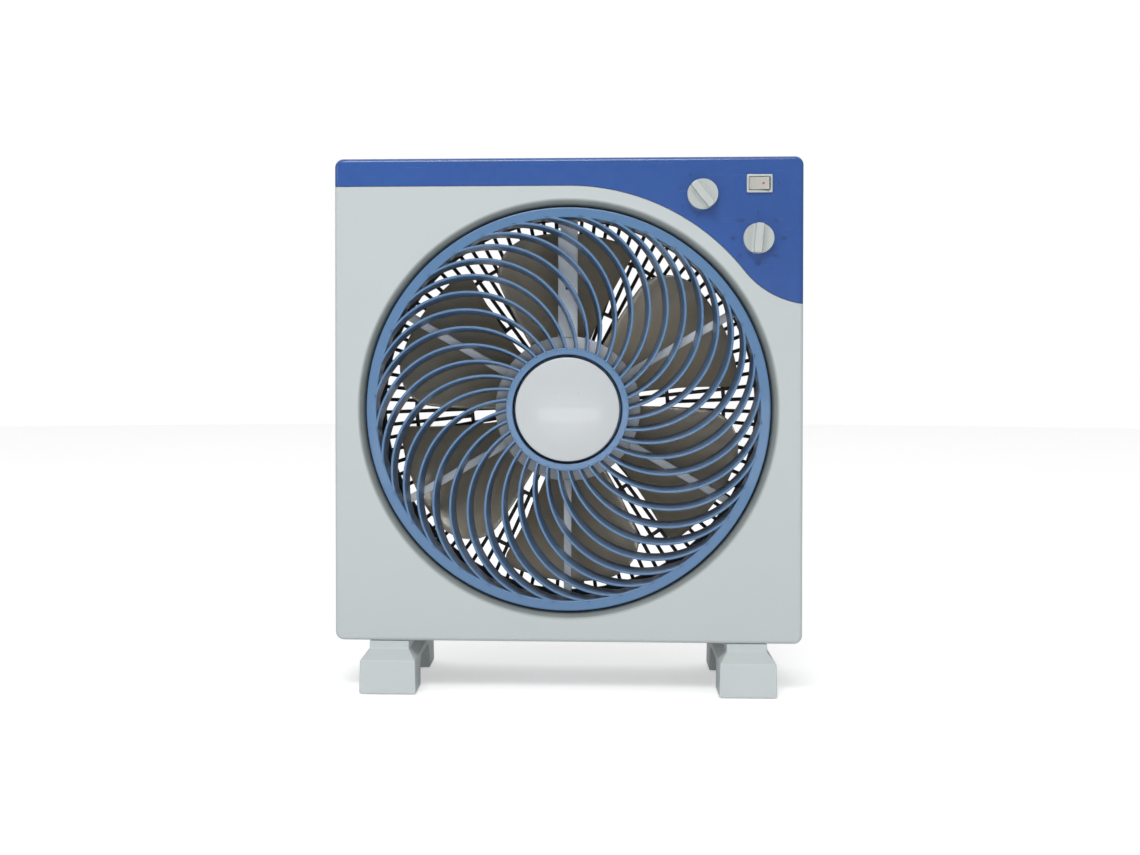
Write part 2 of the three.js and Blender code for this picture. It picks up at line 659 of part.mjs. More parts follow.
function spinnerNut() {
  const back = impellerFront - gap;
  const front = back - spinner.length;
  return revolved([
    [0, front],
    [spinner.radius * 0.6, front + 1],
    [spinner.radius, back - 1.5],
    [spinner.radius, back],
    [shaft.radius + gap, back],
    [shaft.radius + gap, shaftFront - gap],
    [0, shaftFront - gap],
  ], motorTurns);
}

/** A motor end bell: a cup with a bearing boss. outY is its closed end, rimY its open one. */
function endBell(outY, rimY) {
  const way = Math.sign(rimY - outY);
  const boss = bearing.radius + gap;
  const seatEnd = outY + way * (bearing.length + 2.5);
  return revolved([
    [boss, outY],
    [motor.radius - motor.shoulder, outY],
    [motor.radius, outY + way * 4.5],
    [motor.radius, rimY],
    [motor.radius - motor.wall, rimY],
    [motor.radius - motor.wall, outY + way * 6],
    [motor.radius - motor.shoulder - 1.5, outY + way * motor.bellPlate],
    [boss + bearing.housing, outY + way * motor.bellPlate],
    [boss + bearing.housing, seatEnd],
    [boss, seatEnd],
    [boss, outY],
  ], motorTurns);
}

function rearBell() {
  const holes = motorScrewPlaces().map((at) => bar(screw.hole, motorBack - 6, motorBack + 1, at, screwTurns));
  return cut(endBell(motorBack, bellRearEnd), ...holes);
}

const bearingRing = (from) => ring(shaft.radius + gap, bearing.radius, from, from + bearing.length, smallTurns);

// ---------------------------------------------------------------------------
// Controls
// ---------------------------------------------------------------------------

/** A knob with a finger bar across its face. It points at an angle seen from the front. */
function controlKnob(pointer) {
  const back = frontY - gap;
  const front = back - knob.height;
  const disc = bar(knob.radius, front, back, undefined, motorTurns);
  const scoops = [1, -1].map((way) => {
    const scoop = new THREE.BoxGeometry(3 * knob.radius, knob.height, 2 * knob.radius);
    scoop.translate(0, -knob.height / 2, knob.radius);
    scoop.rotateX(radians(knob.scoop));
    scoop.translate(0, front + knob.height - knob.base, knob.bar / 2);
    if (way < 0) scoop.rotateY(Math.PI);
    return solid(turned(scoop, pointer));
  });
  const socket = bar(spindle.radius + gap, back - spindle.intoKnob - gap, back + 1);
  return cut(disc, ...scoops, socket);
}

/** A switch body behind the panel with a seat for its spindle. */
function switchBody(at, size, depth) {
  const half = size / 2;
  const body = box([at.x - half, switchFront, at.z - half], [at.x + half, switchFront + depth, at.z + half]);
  const collar = bar(spindle.radius + 2, frontY + panel.wall + gap, switchFront + 1, at);
  return cut(join(body, collar), bar(spindle.radius + gap, frontY, switchFront + spindle.seat + gap, at));
}

const spindleRod = (at) => bar(spindle.radius, frontY - gap - spindle.intoKnob, switchFront + spindle.seat, at);

const rockerPocket = {
  halfWidth: rocker.width / 2 - rocker.rim,
  halfHeight: rocker.height / 2 - rocker.rim,
  floor: frontY - gap - rocker.bezel + paddle.pocket,
};
const paddlePivotY = frontY - gap;

function rockerBody() {
  const bezelFront = frontY - gap - rocker.bezel;
  const [halfWidth, halfHeight] = [rocker.width / 2, rocker.height / 2];
  const { x, z } = rockerAt;
  const bezel = box([x - halfWidth, bezelFront, z - halfHeight], [x + halfWidth, frontY - gap, z + halfHeight]);
  const body = box([x - halfWidth + 1, bezelFront + 1, z - halfHeight + 1],
    [x + halfWidth - 1, frontY + rocker.depth, z + halfHeight - 1]);
  const blades = [-6, 0, 6].map((offset) => box([x + offset - 0.4, frontY + rocker.depth - 1, z - 2.4],
    [x + offset + 0.4, frontY + rocker.depth + 7, z + 2.4]));
  const pocket = box([x - rockerPocket.halfWidth, bezelFront - 1, z - rockerPocket.halfHeight],
    [x + rockerPocket.halfWidth, rockerPocket.floor, z + rockerPocket.halfHeight]);
  return cut(join(bezel, body, ...blades), pocket);
}

/** The rocker's paddle, tipped with its left end in. Its section lies in x and y. */
function rockerPaddle() {
  const half = rockerPocket.halfWidth - paddle.play;
  const outline = new THREE.Shape();
  outline.moveTo(-half, -paddle.rise - 1.1);
  outline.quadraticCurveTo(0, -paddle.rise + 1.6, half, -paddle.rise - 1.1);
  outline.lineTo(half, paddle.sink * 0.4);
  outline.lineTo(half * 0.5, paddle.sink);
  outline.lineTo(-half * 0.5, paddle.sink);
  outline.lineTo(-half, paddle.sink * 0.4);
  const height = 2 * (rockerPocket.halfHeight - paddle.play);
  const geometry = new THREE.ExtrudeGeometry(outline, { depth: height, bevelEnabled: false, curveSegments: 6 });
  geometry.translate(0, 0, -height / 2);
  geometry.rotateZ(-radians(paddle.tilt));
  return solid(geometry.translate(rockerAt.x, paddlePivotY, rockerAt.z));
}

// ---------------------------------------------------------------------------
// Feet
// ---------------------------------------------------------------------------

/** Half of a foot's stepped outline: a pad with draft, a shoulder and a neck. */
function footOutline(halfPad, halfNeck, base, height) {
  const shoulder = base + foot.padHeight;
  const right = [
    [halfPad, base],
    [halfPad - foot.draft, shoulder],
    [halfNeck, shoulder + footNeck.rise],
    [halfNeck, height],
  ];
  const left = right.map(([x, z]) => [-x, z]).reverse();
  return [...right, ...left].map(([x, z]) => new THREE.Vector2(x, z));
}

function footBody() {
  const base = rubber.proud;
  const height = foot.height - gap;
  const halfLength = footLength / 2;
  const across = new THREE.Shape(footOutline(foot.padWidth / 2, footNeck.width / 2, base, height));
  const along = new THREE.Shape(footOutline(halfLength, halfLength - footNeck.setback, base, height));
  const acrossSolid = solid(plate(across, -halfLength - 5, halfLength + 5));
  const alongGeometry = plate(along, -foot.padWidth, foot.padWidth).rotateZ(Math.PI / 2);
  const arch = new THREE.Shape();
  const halfArch = footLength / 2 - padLand;
  arch.moveTo(-halfArch - 3, -1);
  arch.lineTo(halfArch + 3, -1);
  arch.lineTo(halfArch, footArch.height - footArch.round);
  arch.absarc(halfArch - footArch.round, footArch.height - footArch.round, footArch.round, 0, Math.PI / 2);
  arch.absarc(-halfArch + footArch.round, footArch.height - footArch.round, footArch.round, Math.PI / 2, Math.PI);
  const archGeometry = plate(arch, -foot.padWidth, foot.padWidth).rotateZ(Math.PI / 2);
  const pockets = padPlaces.map((y) => padBlock(y, gap, 5));
  return cut(acrossSolid.intersect(solid(alongGeometry)), solid(archGeometry), ...pockets);
}

/** A rubber pad's block, or the pocket for it when it is grown. */
function padBlock(y, grow, drop = 0) {
  const [halfX, halfY] = [rubber.width / 2 + grow, rubber.length / 2 + grow];
  return box([-halfX, y - halfY, -drop], [halfX, y + halfY, rubber.thickness + grow]);
}

// ---------------------------------------------------------------------------
// Capacitor, cord gland and the leads inside the casing
// ---------------------------------------------------------------------------

function capacitorCan() {
  const at = [-side + capacitor.fromSide, backY - capacitor.fromBack, bottom + capacitor.fromBottom];
  const half = [capacitor.width / 2, capacitor.depth / 2, capacitor.height / 2];
  return box(at.map((value, i) => value - half[i]), at.map((value, i) => value + half[i]));
}

/** The gland that the mains cord enters by, its flange on the back of the casing. */
function cordGland() {
  const flangeFront = backY + gap;
  const flangeBack = flangeFront + gland.flangeDepth;
  const inside = flangeBack - gland.length;
  return revolved([
    [gland.hole, inside],
    [gland.radius, inside],
    [gland.radius, flangeFront],
    [gland.flange, flangeFront],
    [gland.flange - 1, flangeBack],
    [gland.hole, flangeBack],
    [gland.hole, inside],
  ], smallTurns);
}

function leadFromMotor() {
  const y = grilleFront - motorLead.fromGrille;
  const along = (radius, depth) => {
    const at = onCircle(radius, motorLead.angle);
    return [at.x, depth, at.z];
  };
  return cable([
    along(motor.radius + 1.5, y),
    along(lerp(motor.radius, rearDuct.radius, 0.38), y),
    along(rearDuct.radius - 10, y),
    along(rearDuct.radius + 6, y),
    along(rearDuct.radius + 14, y),
    along(rearDuct.radius + 22, y - 14 * depthScale),
    [speedAt.x + 12, 0, speedAt.z - 2],
    [speedAt.x + 4, switchFront + speed.depth + 6, speedAt.z],
  ]);
}

function leadFromLouvreMotor() {
  const y = bracketFront + channel.wall + 1.5 + lead.radius;
  return cable([
    [0, y + 4.6, louvreMotor.radius + 1.6],
    [0, y + 4, bracket.hubRadius - 12],
    [0, y + 0.6, bracket.hubRadius + 10],
    [0, y + 0.4, lerp(bracket.hubRadius, rearDuct.radius, 0.45)],
    [0, y + 0.4, rearDuct.radius + 8],
    [12, y + 2, rearDuct.radius + 16],
    [speedAt.x - 40, y + 6, speedAt.z + 12],
    [speedAt.x - speed.body / 2 - 3, y - 6, speedAt.z + 6],
  ], lead.thin);
}

function mainsLead() {
  const x = side - casing.wall - 7;
  const glandX = side - gland.fromSide;
  const glandZ = bottom + gland.fromBottom;
  return cable([
    [glandX, backY - gland.length + gland.flangeDepth - 3, glandZ],
    [glandX + 6, backY - gland.length - 14, glandZ + 12],
    [x, 30 * depthScale, bottom + 70],
    [x, 10 * depthScale, 0.3 * bottom],
    [x, 0, 0],
    [x, -10 * depthScale, 0.3 * top],
    [x, -24 * depthScale, top - 90],
    [rockerAt.x + 14, frontY + rocker.depth + 17, rockerAt.z - 8],
    [rockerAt.x, frontY + rocker.depth + 11, rockerAt.z],
  ]);
}

// ---------------------------------------------------------------------------
// Finishes and assembly
// ---------------------------------------------------------------------------

const finish = (color, roughness, metalness = 0) => new THREE.MeshStandardMaterial({ color, roughness, metalness });
const finishes = {
  white: finish(0xd3dadc, 0.42),
  cap: finish(0xd6dde3, 0.35),
  panelBlue: finish(0x3d5fae, 0.25),
  louvreBlue: finish(0x6d9ccb, 0.35),
  smoke: finish(0x5b5348, 0.2),
  black: finish(0x17191b, 0.5),
  steel: finish(0xb9bcbe, 0.35, 1),
  zinc: finish(0xa9adb0, 0.45, 1),
  lamination: finish(0x55585c, 0.5, 0.9),
  copper: finish(0xa65a2c, 0.4, 0.8),
  bronze: finish(0x9b7a45, 0.45, 0.9),
  switchGrey: finish(0x3a3d40, 0.5),
  knobWhite: finish(0xe4e8e6, 0.35),
  rubber: finish(0x26282a, 0.9),
};

const fan = new THREE.Group();
fan.position.z = axisZ;
const object = new THREE.Group();
object.add(fan);

/** Adds a named piece to the assembly. */
function place(name, shape, material, parent = fan) {
  const mesh = new THREE.Mesh(geometryOf(shape), material);
  mesh.name = name;
  parent.add(mesh);
  return mesh;
}

place('front_shell', frontShell(), finishes.white);
place('rear_shell', rearShell(), finishes.white);
place('control_panel', controlPanel(), finishes.panelBlue);
place('rear_grille', rearGrille(), finishes.black);
place('front_bracket', frontBracket(), finishes.white);

place('louvre_grille', louvreGrille(), finishes.louvreBlue);
place('louvre_cap', louvreCap(), finishes.cap);
place('louvre_shaft', louvreShaft(), finishes.steel);
place('louvre_screw', louvreScrew(), finishes.zinc);
place('louvre_motor', louvreMotorBody(), finishes.zinc);
[['right', 0], ['left', 180]].forEach(([name, angle]) => {
  const at = onCircle(motorEar.circle, angle);
  const headFront = louvreMotorFront + motorEar.thickness + gap;
  place(`louvre_motor_screw_${name}`, panScrew(headFront, bracketFront + 0.5, at), finishes.zinc);
});

place('impeller', impellerBody(), finishes.smoke);
place('spinner_nut', spinnerNut(), finishes.black);
place('motor_shaft', bar(shaft.radius, shaftFront, motorBack - 2), finishes.steel);
const rotorRadius = stack.bore - rotor.airGap;
const rotorFrom = stackFront - rotor.overhang;
const rotorTo = stackBack + rotor.overhang;
place('motor_rotor', ring(shaft.radius + gap, rotorRadius, rotorFrom, rotorTo, motorTurns), finishes.lamination);
place('motor_stator', ring(stack.bore, motor.radius, stackFront, stackBack, motorTurns), finishes.lamination);
const { coilInner, coilOuter, coilDepth } = stack;
const frontCoil = ring(coilInner, coilOuter, bellFrontEnd - coilDepth, bellFrontEnd, motorTurns);
const rearCoil = ring(coilInner, coilOuter, bellRearEnd, bellRearEnd + coilDepth, motorTurns);
place('motor_coil_front', frontCoil, finishes.copper);
place('motor_coil_rear', rearCoil, finishes.copper);
place('motor_front_bell', endBell(motorFront, bellFrontEnd), finishes.zinc);
place('motor_rear_bell', rearBell(), finishes.zinc);
place('motor_front_bearing', bearingRing(motorFront + 1), finishes.bronze);
place('motor_rear_bearing', bearingRing(motorBack - 1 - bearing.length), finishes.bronze);
motorScrewPlaces().forEach((at, i) => {
  place(`motor_screw_${i + 1}`, panScrew(grilleBack + gap, motorBack - 4.5, at), finishes.zinc);
});

place('speed_switch', switchBody(speedAt, speed.body, speed.depth), finishes.switchGrey);
place('speed_spindle', spindleRod(speedAt), finishes.steel);
place('speed_knob', controlKnob(speed.pointer), finishes.knobWhite).position.set(speedAt.x, 0, speedAt.z);
place('timer', switchBody(timerAt, timer.body, timer.depth), finishes.switchGrey);
place('timer_spindle', spindleRod(timerAt), finishes.steel);
place('timer_knob', controlKnob(timer.pointer), finishes.knobWhite).position.set(timerAt.x, 0, timerAt.z);
place('rocker_body', rockerBody(), finishes.knobWhite);
place('rocker_paddle', rockerPaddle(), finishes.knobWhite);

armAngles.slice(1).forEach((angle, i) => {
  const headFront = bracketFront + bracketPad.plate + gap;
  const at = onCircle(bracketPad.circle, angle);
  place(`bracket_screw_${i + 1}`, panScrew(headFront, ductBack - 10, at), finishes.zinc);
});
posts.forEach((at, i) => {
  const headFront = partingY + casingScrew.sink + gap;
  const screwSolid = panScrew(headFront, headFront - casingScrew.length, at, casingScrew);
  place(`casing_screw_${i + 1}`, screwSolid, finishes.zinc);
});
grilleScrewPlaces().forEach((at, i) => {
  place(`grille_screw_${i + 1}`, panScrew(grilleBack + gap, grilleFront - 2.2, at), finishes.zinc);
});

place('capacitor', capacitorCan(), finishes.switchGrey);
place('cord_gland', cordGland(), finishes.black).position.set(side - gland.fromSide, 0, bottom + gland.fromBottom);

place('motor_lead', leadFromMotor(), finishes.black);
place('louvre_motor_lead', leadFromLouvreMotor(), finishes.black);
place('mains_lead', mainsLead(), finishes.black);

[['left', -1], ['right', 1]].forEach(([name, way]) => {
  const stand = new THREE.Group();
  stand.position.x = way * footX;
  object.add(stand);
  place(`foot_${name}`, footBody(), finishes.white, stand);
  [['front', padPlaces[0]], ['rear', padPlaces[1]]].forEach(([end, y]) => {
    place(`foot_pad_${name}_${end}`, padBlock(y, 0), finishes.rubber, stand);
  });
});

export default object;
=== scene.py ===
"""Looks of a square box fan with a turning louvre grille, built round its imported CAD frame."""

import json
import math

import bmesh
import bpy
from bpy.props import FloatProperty, FloatVectorProperty, IntProperty, PointerProperty
from mathutils import Matrix, Vector


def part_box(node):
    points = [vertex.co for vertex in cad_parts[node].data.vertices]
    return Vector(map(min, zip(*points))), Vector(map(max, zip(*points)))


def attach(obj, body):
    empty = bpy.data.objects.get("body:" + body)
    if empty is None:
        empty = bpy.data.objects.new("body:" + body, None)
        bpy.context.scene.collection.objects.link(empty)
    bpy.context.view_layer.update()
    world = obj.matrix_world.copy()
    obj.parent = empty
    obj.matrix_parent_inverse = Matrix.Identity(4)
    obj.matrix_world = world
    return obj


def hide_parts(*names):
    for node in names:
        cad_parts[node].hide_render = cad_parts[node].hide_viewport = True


bl_info = {
    "name": "Box Fan Builder",
    "version": (1, 0, 0),
    "blender": (4, 5, 0),
    "location": "3D View > Sidebar > Box Fan",
    "description": "Builds the visible pieces and finishes of a louvre box fan",
    "category": "Add Mesh",
}

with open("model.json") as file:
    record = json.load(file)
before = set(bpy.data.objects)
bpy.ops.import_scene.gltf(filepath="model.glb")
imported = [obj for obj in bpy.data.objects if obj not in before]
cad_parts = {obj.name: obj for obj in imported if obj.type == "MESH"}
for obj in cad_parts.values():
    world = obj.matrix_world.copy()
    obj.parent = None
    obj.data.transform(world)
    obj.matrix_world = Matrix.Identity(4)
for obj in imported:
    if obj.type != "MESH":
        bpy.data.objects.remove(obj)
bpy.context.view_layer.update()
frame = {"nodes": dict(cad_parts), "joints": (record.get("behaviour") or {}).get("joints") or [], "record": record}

MM = 0.001
GAP = 0.3 * MM
FLAT_AREA = 20 * MM * MM  # a flat face at least this large keeps its own shading

# ---------------------------------------------------------------------------
# Places read from the frame. Outlines are drawn in x, y, z from the fan axis.
# ---------------------------------------------------------------------------

JOINTS = {joint["name"]: joint for joint in frame["joints"]}
AXIS = Vector(JOINTS["impeller_spin"]["pos_m"])


def axis_box(node):
    """A node's lowest and highest corners, measured from the fan axis."""
    low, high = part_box(node)
    return low - AXIS, high - AXIS


def axis_middle(node):
    """The middle of a node's box, measured from the fan axis."""
    low, high = axis_box(node)
    return (low + high) / 2


SHELL_LOW, SHELL_HIGH = axis_box("front_shell")
FRONT = SHELL_LOW.y
PARTING = SHELL_HIGH.y
BACK = axis_box("rear_shell")[1].y
SIDE = SHELL_HIGH.x
TOP = SHELL_HIGH.z
BOTTOM = SHELL_LOW.z
PANEL_LOW, PANEL_HIGH = axis_box("control_panel")
LOUVRE_LOW, LOUVRE_HIGH = axis_box("louvre_grille")
BRACKET_LOW, BRACKET_HIGH = axis_box("front_bracket")
GRILLE_LOW, GRILLE_HIGH = axis_box("rear_grille")
REAR_DUCT_FRONT = axis_box("rear_shell")[0].y
SPEED = Vector(JOINTS["speed_knob_turn"]["pos_m"]) - AXIS
TIMER = Vector(JOINTS["timer_knob_turn"]["pos_m"]) - AXIS
ROCKER = Vector(JOINTS["rocker_tilt"]["pos_m"]) - AXIS


# ---------------------------------------------------------------------------
# Settings that a user would change
# ---------------------------------------------------------------------------


def length(label, note, millimetres):
    return FloatProperty(name=label, description=note, default=millimetres * MM, unit="LENGTH", precision=5)


def degrees(label, note, value):
    return FloatProperty(name=label, description=note, default=math.radians(value), subtype="ANGLE")


def colour(label, note, value):
    return FloatVectorProperty(
        name=label, description=note, default=value, size=3, subtype="COLOR", min=0, max=1
    )


class FanCasingSettings(bpy.types.PropertyGroup):
    corner: length("Corner", "Corner radius of the casing seen from the front", 7)
    edge: length("Edge", "Rounding of the casing's front and back edges", 3)
    wall: length("Wall", "Wall of the casing shells", 2.6)
    recess: length("Opening", "Radius of the bevelled front opening", 174.5)
    recess_depth: length("Opening edge", "Depth of the rounded edge of the front opening", 14)
    duct: length("Front duct", "Inside radius of the front duct", 168)
    rear_duct: length("Rear duct", "Inside radius of the rear duct", 171)
    panel_wall: length("Panel wall", "Thickness of the control panel", 2.5)
    panel_sweep: length("Panel sweep", "Radius of the hollow curve at the panel's right end", 73)
    turns: IntProperty(name="Turns", description="Facets round the openings", default=240, min=48)


class FanLouvreSettings(bpy.types.PropertyGroup):
    count: IntProperty(name="Vanes", description="Number of curved vanes", default=36, min=6)
    first: degrees("First vane", "Angle of the first vane's root from the right", 1)
    thickness: length("Thickness", "Thickness of a vane", 2)
    sweep: degrees("Sweep", "Turn from a vane's root to the peak of its arc", 66.6)
    slant: degrees("Slant", "Turn of a vane's back edge against its front edge", 1.7)
    overrun: length("Overrun", "How far a vane's arc would peak past the ring's inside", 4.8)
    ring_inner: length("Ring inside", "Inside radius of the outer ring", 158.6)
    hub_inner: length("Hub inside", "Inside radius of the hub ring", 45.4)
    hub_outer: length("Hub outside", "Outside radius of the hub ring", 51)
    cap: length("Cap", "Radius of the hub's cap", 43)


class FanBlowerSettings(bpy.types.PropertyGroup):
    blades: IntProperty(name="Blades", description="Number of impeller blades", default=6, min=2)
    first_blade: degrees("First blade", "Angle of the first blade from the right", 73.5)
    tip: length("Tip radius", "Radius at the blade tips", 150)
    hub: length("Hub radius", "Radius of the impeller's hub", 38)
    blade_wall: length("Blade wall", "Thickness of a blade", 2)
    arm_width: length("Arm", "Width of a bracket arm", 6.5)
    channel_width: length("Channel", "Width of the top bracket arm", 16.5)
    bracket_hub: length("Bracket disc", "Radius of the bracket's disc", 61)
    bar: length("Bar", "Width of a rear grille bar", 3.3)
    first_bar: degrees("First bar", "Angle of the first long bar from the right", -1.8)
    spokes: IntProperty(name="Spokes", description="Rear grille bars in the outer bands", default=90, min=12)


class FanFinishSettings(bpy.types.PropertyGroup):
    casing: colour("Casing", "Pale moulded casing", (0.490, 0.535, 0.542))
    feet: colour("Feet", "Pale moulded feet", (0.53, 0.58, 0.585))
    bracket: colour("Bracket", "Bracket behind the louvre", (0.80, 0.84, 0.86))
    cap: colour("Cap", "Louvre's hub cap", (0.52, 0.55, 0.57))
    panel: colour("Panel", "Control panel", (0.019, 0.080, 0.305))
    louvre: colour("Louvre", "Turning louvre", (0.074, 0.178, 0.345))
    smoke: colour("Smoke", "See-through blades", (0.40, 0.35, 0.26))
    black: colour("Black", "Rear grille", (0.010, 0.012, 0.015))
    knob: colour("Knob", "Knobs and rocker", (0.47, 0.51, 0.50))
    ink: colour("Ink", "Printed dial marks", (0.012, 0.022, 0.07))


class FanStudioSettings(bpy.types.PropertyGroup):
    lens: FloatProperty(name="Lens", description="Focal length in millimetres", default=53.68)
    key_power: FloatProperty(
        name="Key", description="Power of the high front light", default=18.0, unit="POWER"
    )
    fill_power: FloatProperty(name="Fill", description="Power of the side light", default=4.0, unit="POWER")
    front_power: FloatProperty(
        name="Front", description="Power of the low front light", default=3.2, unit="POWER"
    )
    overhead_power: FloatProperty(
        name="Overhead", description="Power of the ceiling", default=215.0, unit="POWER"
    )
    surround: FloatProperty(name="Surround", description="Brightness of the room round the fan", default=0.4)


# ---------------------------------------------------------------------------
# Shader node groups
# ---------------------------------------------------------------------------


def add_node(tree, kind, inputs=None, **attributes):
    """Adds a node, sets its attributes, and sets or links each named or numbered input."""
    made = tree.nodes.new(kind)
    for name, value in attributes.items():
        setattr(made, name, value)
    for key, value in (inputs or {}).items():
        socket = made.inputs[key]
        if isinstance(value, bpy.types.NodeSocket):
            tree.links.new(value, socket)
        else:
            socket.default_value = value
    return made


def math_node(tree, operation, first, second=0.0):
    return add_node(tree, "ShaderNodeMath", {0: first, 1: second}, operation=operation).outputs[0]


def shader_group(name, inputs, outputs):
    """An empty shader group with named sockets. Returns the tree, its input node and its output node."""
    tree = bpy.data.node_groups.new(name, "ShaderNodeTree")
    for label, kind, default in inputs:
        tree.interface.new_socket(label, in_out="INPUT", socket_type=kind).default_value = default
    for label, kind in outputs:
        tree.interface.new_socket(label, in_out="OUTPUT", socket_type=kind)
    return tree, tree.nodes.new("NodeGroupInput"), tree.nodes.new("NodeGroupOutput")


FLOAT, COLOUR = "NodeSocketFloat", "NodeSocketColor"


def moulded_surface_group():
    """Moulded plastic: slow colour drift, fine grain, hairline scratches and dust lying on upward faces."""
    tree, given, out = shader_group(
        "Moulded Surface",
        [
            ("Colour", COLOUR, (0.5, 0.5, 0.5, 1)),
            ("Dust Colour", COLOUR, (0.5, 0.48, 0.44, 1)),
            ("Drift", FLOAT, 0.06),
            ("Grain Scale", FLOAT, 1400.0),
            ("Roughness", FLOAT, 0.4),
            ("Roughness Drift", FLOAT, 0.12),
            ("Dust", FLOAT, 0.2),
            ("Scratches", FLOAT, 0.2),
        ],
        [("Colour", COLOUR), ("Roughness", FLOAT), ("Height", FLOAT)],
    )
    coords = add_node(tree, "ShaderNodeTexCoord").outputs["Object"]
    cloud = add_node(
        tree, "ShaderNodeTexNoise", {"Vector": coords, "Scale": 9.0, "Detail": 4.0}
    ).outputs["Fac"]
    speck = add_node(
        tree, "ShaderNodeTexNoise", {"Vector": coords, "Scale": 160.0, "Detail": 3.0}
    ).outputs["Fac"]
    grain_inputs = {"Vector": coords, "Scale": given.outputs["Grain Scale"], "Detail": 2.0}
    grain = add_node(tree, "ShaderNodeTexNoise", grain_inputs).outputs["Fac"]
    stretched = add_node(
        tree, "ShaderNodeMapping", {"Vector": coords, "Rotation": (0.3, 0.7, 0.2), "Scale": (14, 14, 700)}
    )
    hair = add_node(tree, "ShaderNodeTexNoise", {"Vector": stretched.outputs[0], "Scale": 1.0, "Detail": 3.0})
    hairline = add_node(
        tree, "ShaderNodeMapRange", {"Value": hair.outputs["Fac"], "From Min": 0.66, "From Max": 0.74}
    ).outputs[0]
    scratch = math_node(tree, "MULTIPLY", hairline, given.outputs["Scratches"])

    swing = math_node(tree, "MULTIPLY", math_node(tree, "SUBTRACT", cloud, 0.5), given.outputs["Drift"])
    value = math_node(tree, "ADD", swing, 1.0)
    tinted = add_node(
        tree, "ShaderNodeHueSaturation", {"Value": value, "Color": given.outputs["Colour"]}
    ).outputs[0]

    normal = add_node(tree, "ShaderNodeNewGeometry").outputs["Normal"]
    upward = add_node(tree, "ShaderNodeSeparateXYZ", {0: normal}).outputs["Z"]
    ledge = add_node(
        tree, "ShaderNodeMapRange", {"Value": upward, "From Min": 0.2, "From Max": 1.0}
    ).outputs[0]
    lying = math_node(
        tree, "MULTIPLY", math_node(tree, "ADD", math_node(tree, "MULTIPLY", ledge, 0.8), 0.08), speck
    )
    dust = math_node(tree, "MULTIPLY", lying, given.outputs["Dust"])
    dusted = add_node(
        tree, "ShaderNodeMix", {"Factor": dust, 6: tinted, 7: given.outputs["Dust Colour"]}, data_type="RGBA"
    ).outputs[2]

    wander = math_node(
        tree, "MULTIPLY", math_node(tree, "SUBTRACT", speck, 0.5), given.outputs["Roughness Drift"]
    )
    rough = math_node(tree, "ADD", given.outputs["Roughness"], wander)
    rough = math_node(tree, "ADD", rough, math_node(tree, "MULTIPLY", dust, 0.6))
    rough = math_node(tree, "ADD", rough, math_node(tree, "MULTIPLY", scratch, 0.25))
    height = math_node(tree, "SUBTRACT", grain, math_node(tree, "MULTIPLY", scratch, 0.5))
    tree.links.new(dusted, out.inputs["Colour"])
    tree.links.new(rough, out.inputs["Roughness"])
    tree.links.new(height, out.inputs["Height"])
    return tree


def edge_wear_and_shade_group():
    """A mask that is 1 on rounded corners and 0 on open faces: rubbed wear on most plastics, painted shade along
    the panel's edges.
    """
    tree, given, out = shader_group(
        "Edge Wear And Shade", [("Amount", FLOAT, 0.5), ("Breakup", FLOAT, 60.0)], [("Mask", FLOAT)]
    )
    true_normal = add_node(tree, "ShaderNodeNewGeometry").outputs["Normal"]
    rounded = add_node(tree, "ShaderNodeBevel", {"Radius": 0.6 * MM}, samples=4).outputs[0]
    likeness = add_node(tree, "ShaderNodeVectorMath", {0: rounded, 1: true_normal}, operation="DOT_PRODUCT")
    sharp = add_node(
        tree, "ShaderNodeMapRange", {"Value": likeness.outputs["Value"], "From Min": 0.985, "From Max": 0.88}
    ).outputs[0]
    coords = add_node(tree, "ShaderNodeTexCoord").outputs["Object"]
    patch_inputs = {"Vector": coords, "Scale": given.outputs["Breakup"], "Detail": 3.0}
    patch = add_node(tree, "ShaderNodeTexNoise", patch_inputs).outputs["Fac"]
    broken = math_node(tree, "MULTIPLY", sharp, patch)
    tree.links.new(math_node(tree, "MULTIPLY", broken, given.outputs["Amount"]), out.inputs["Mask"])
    return tree


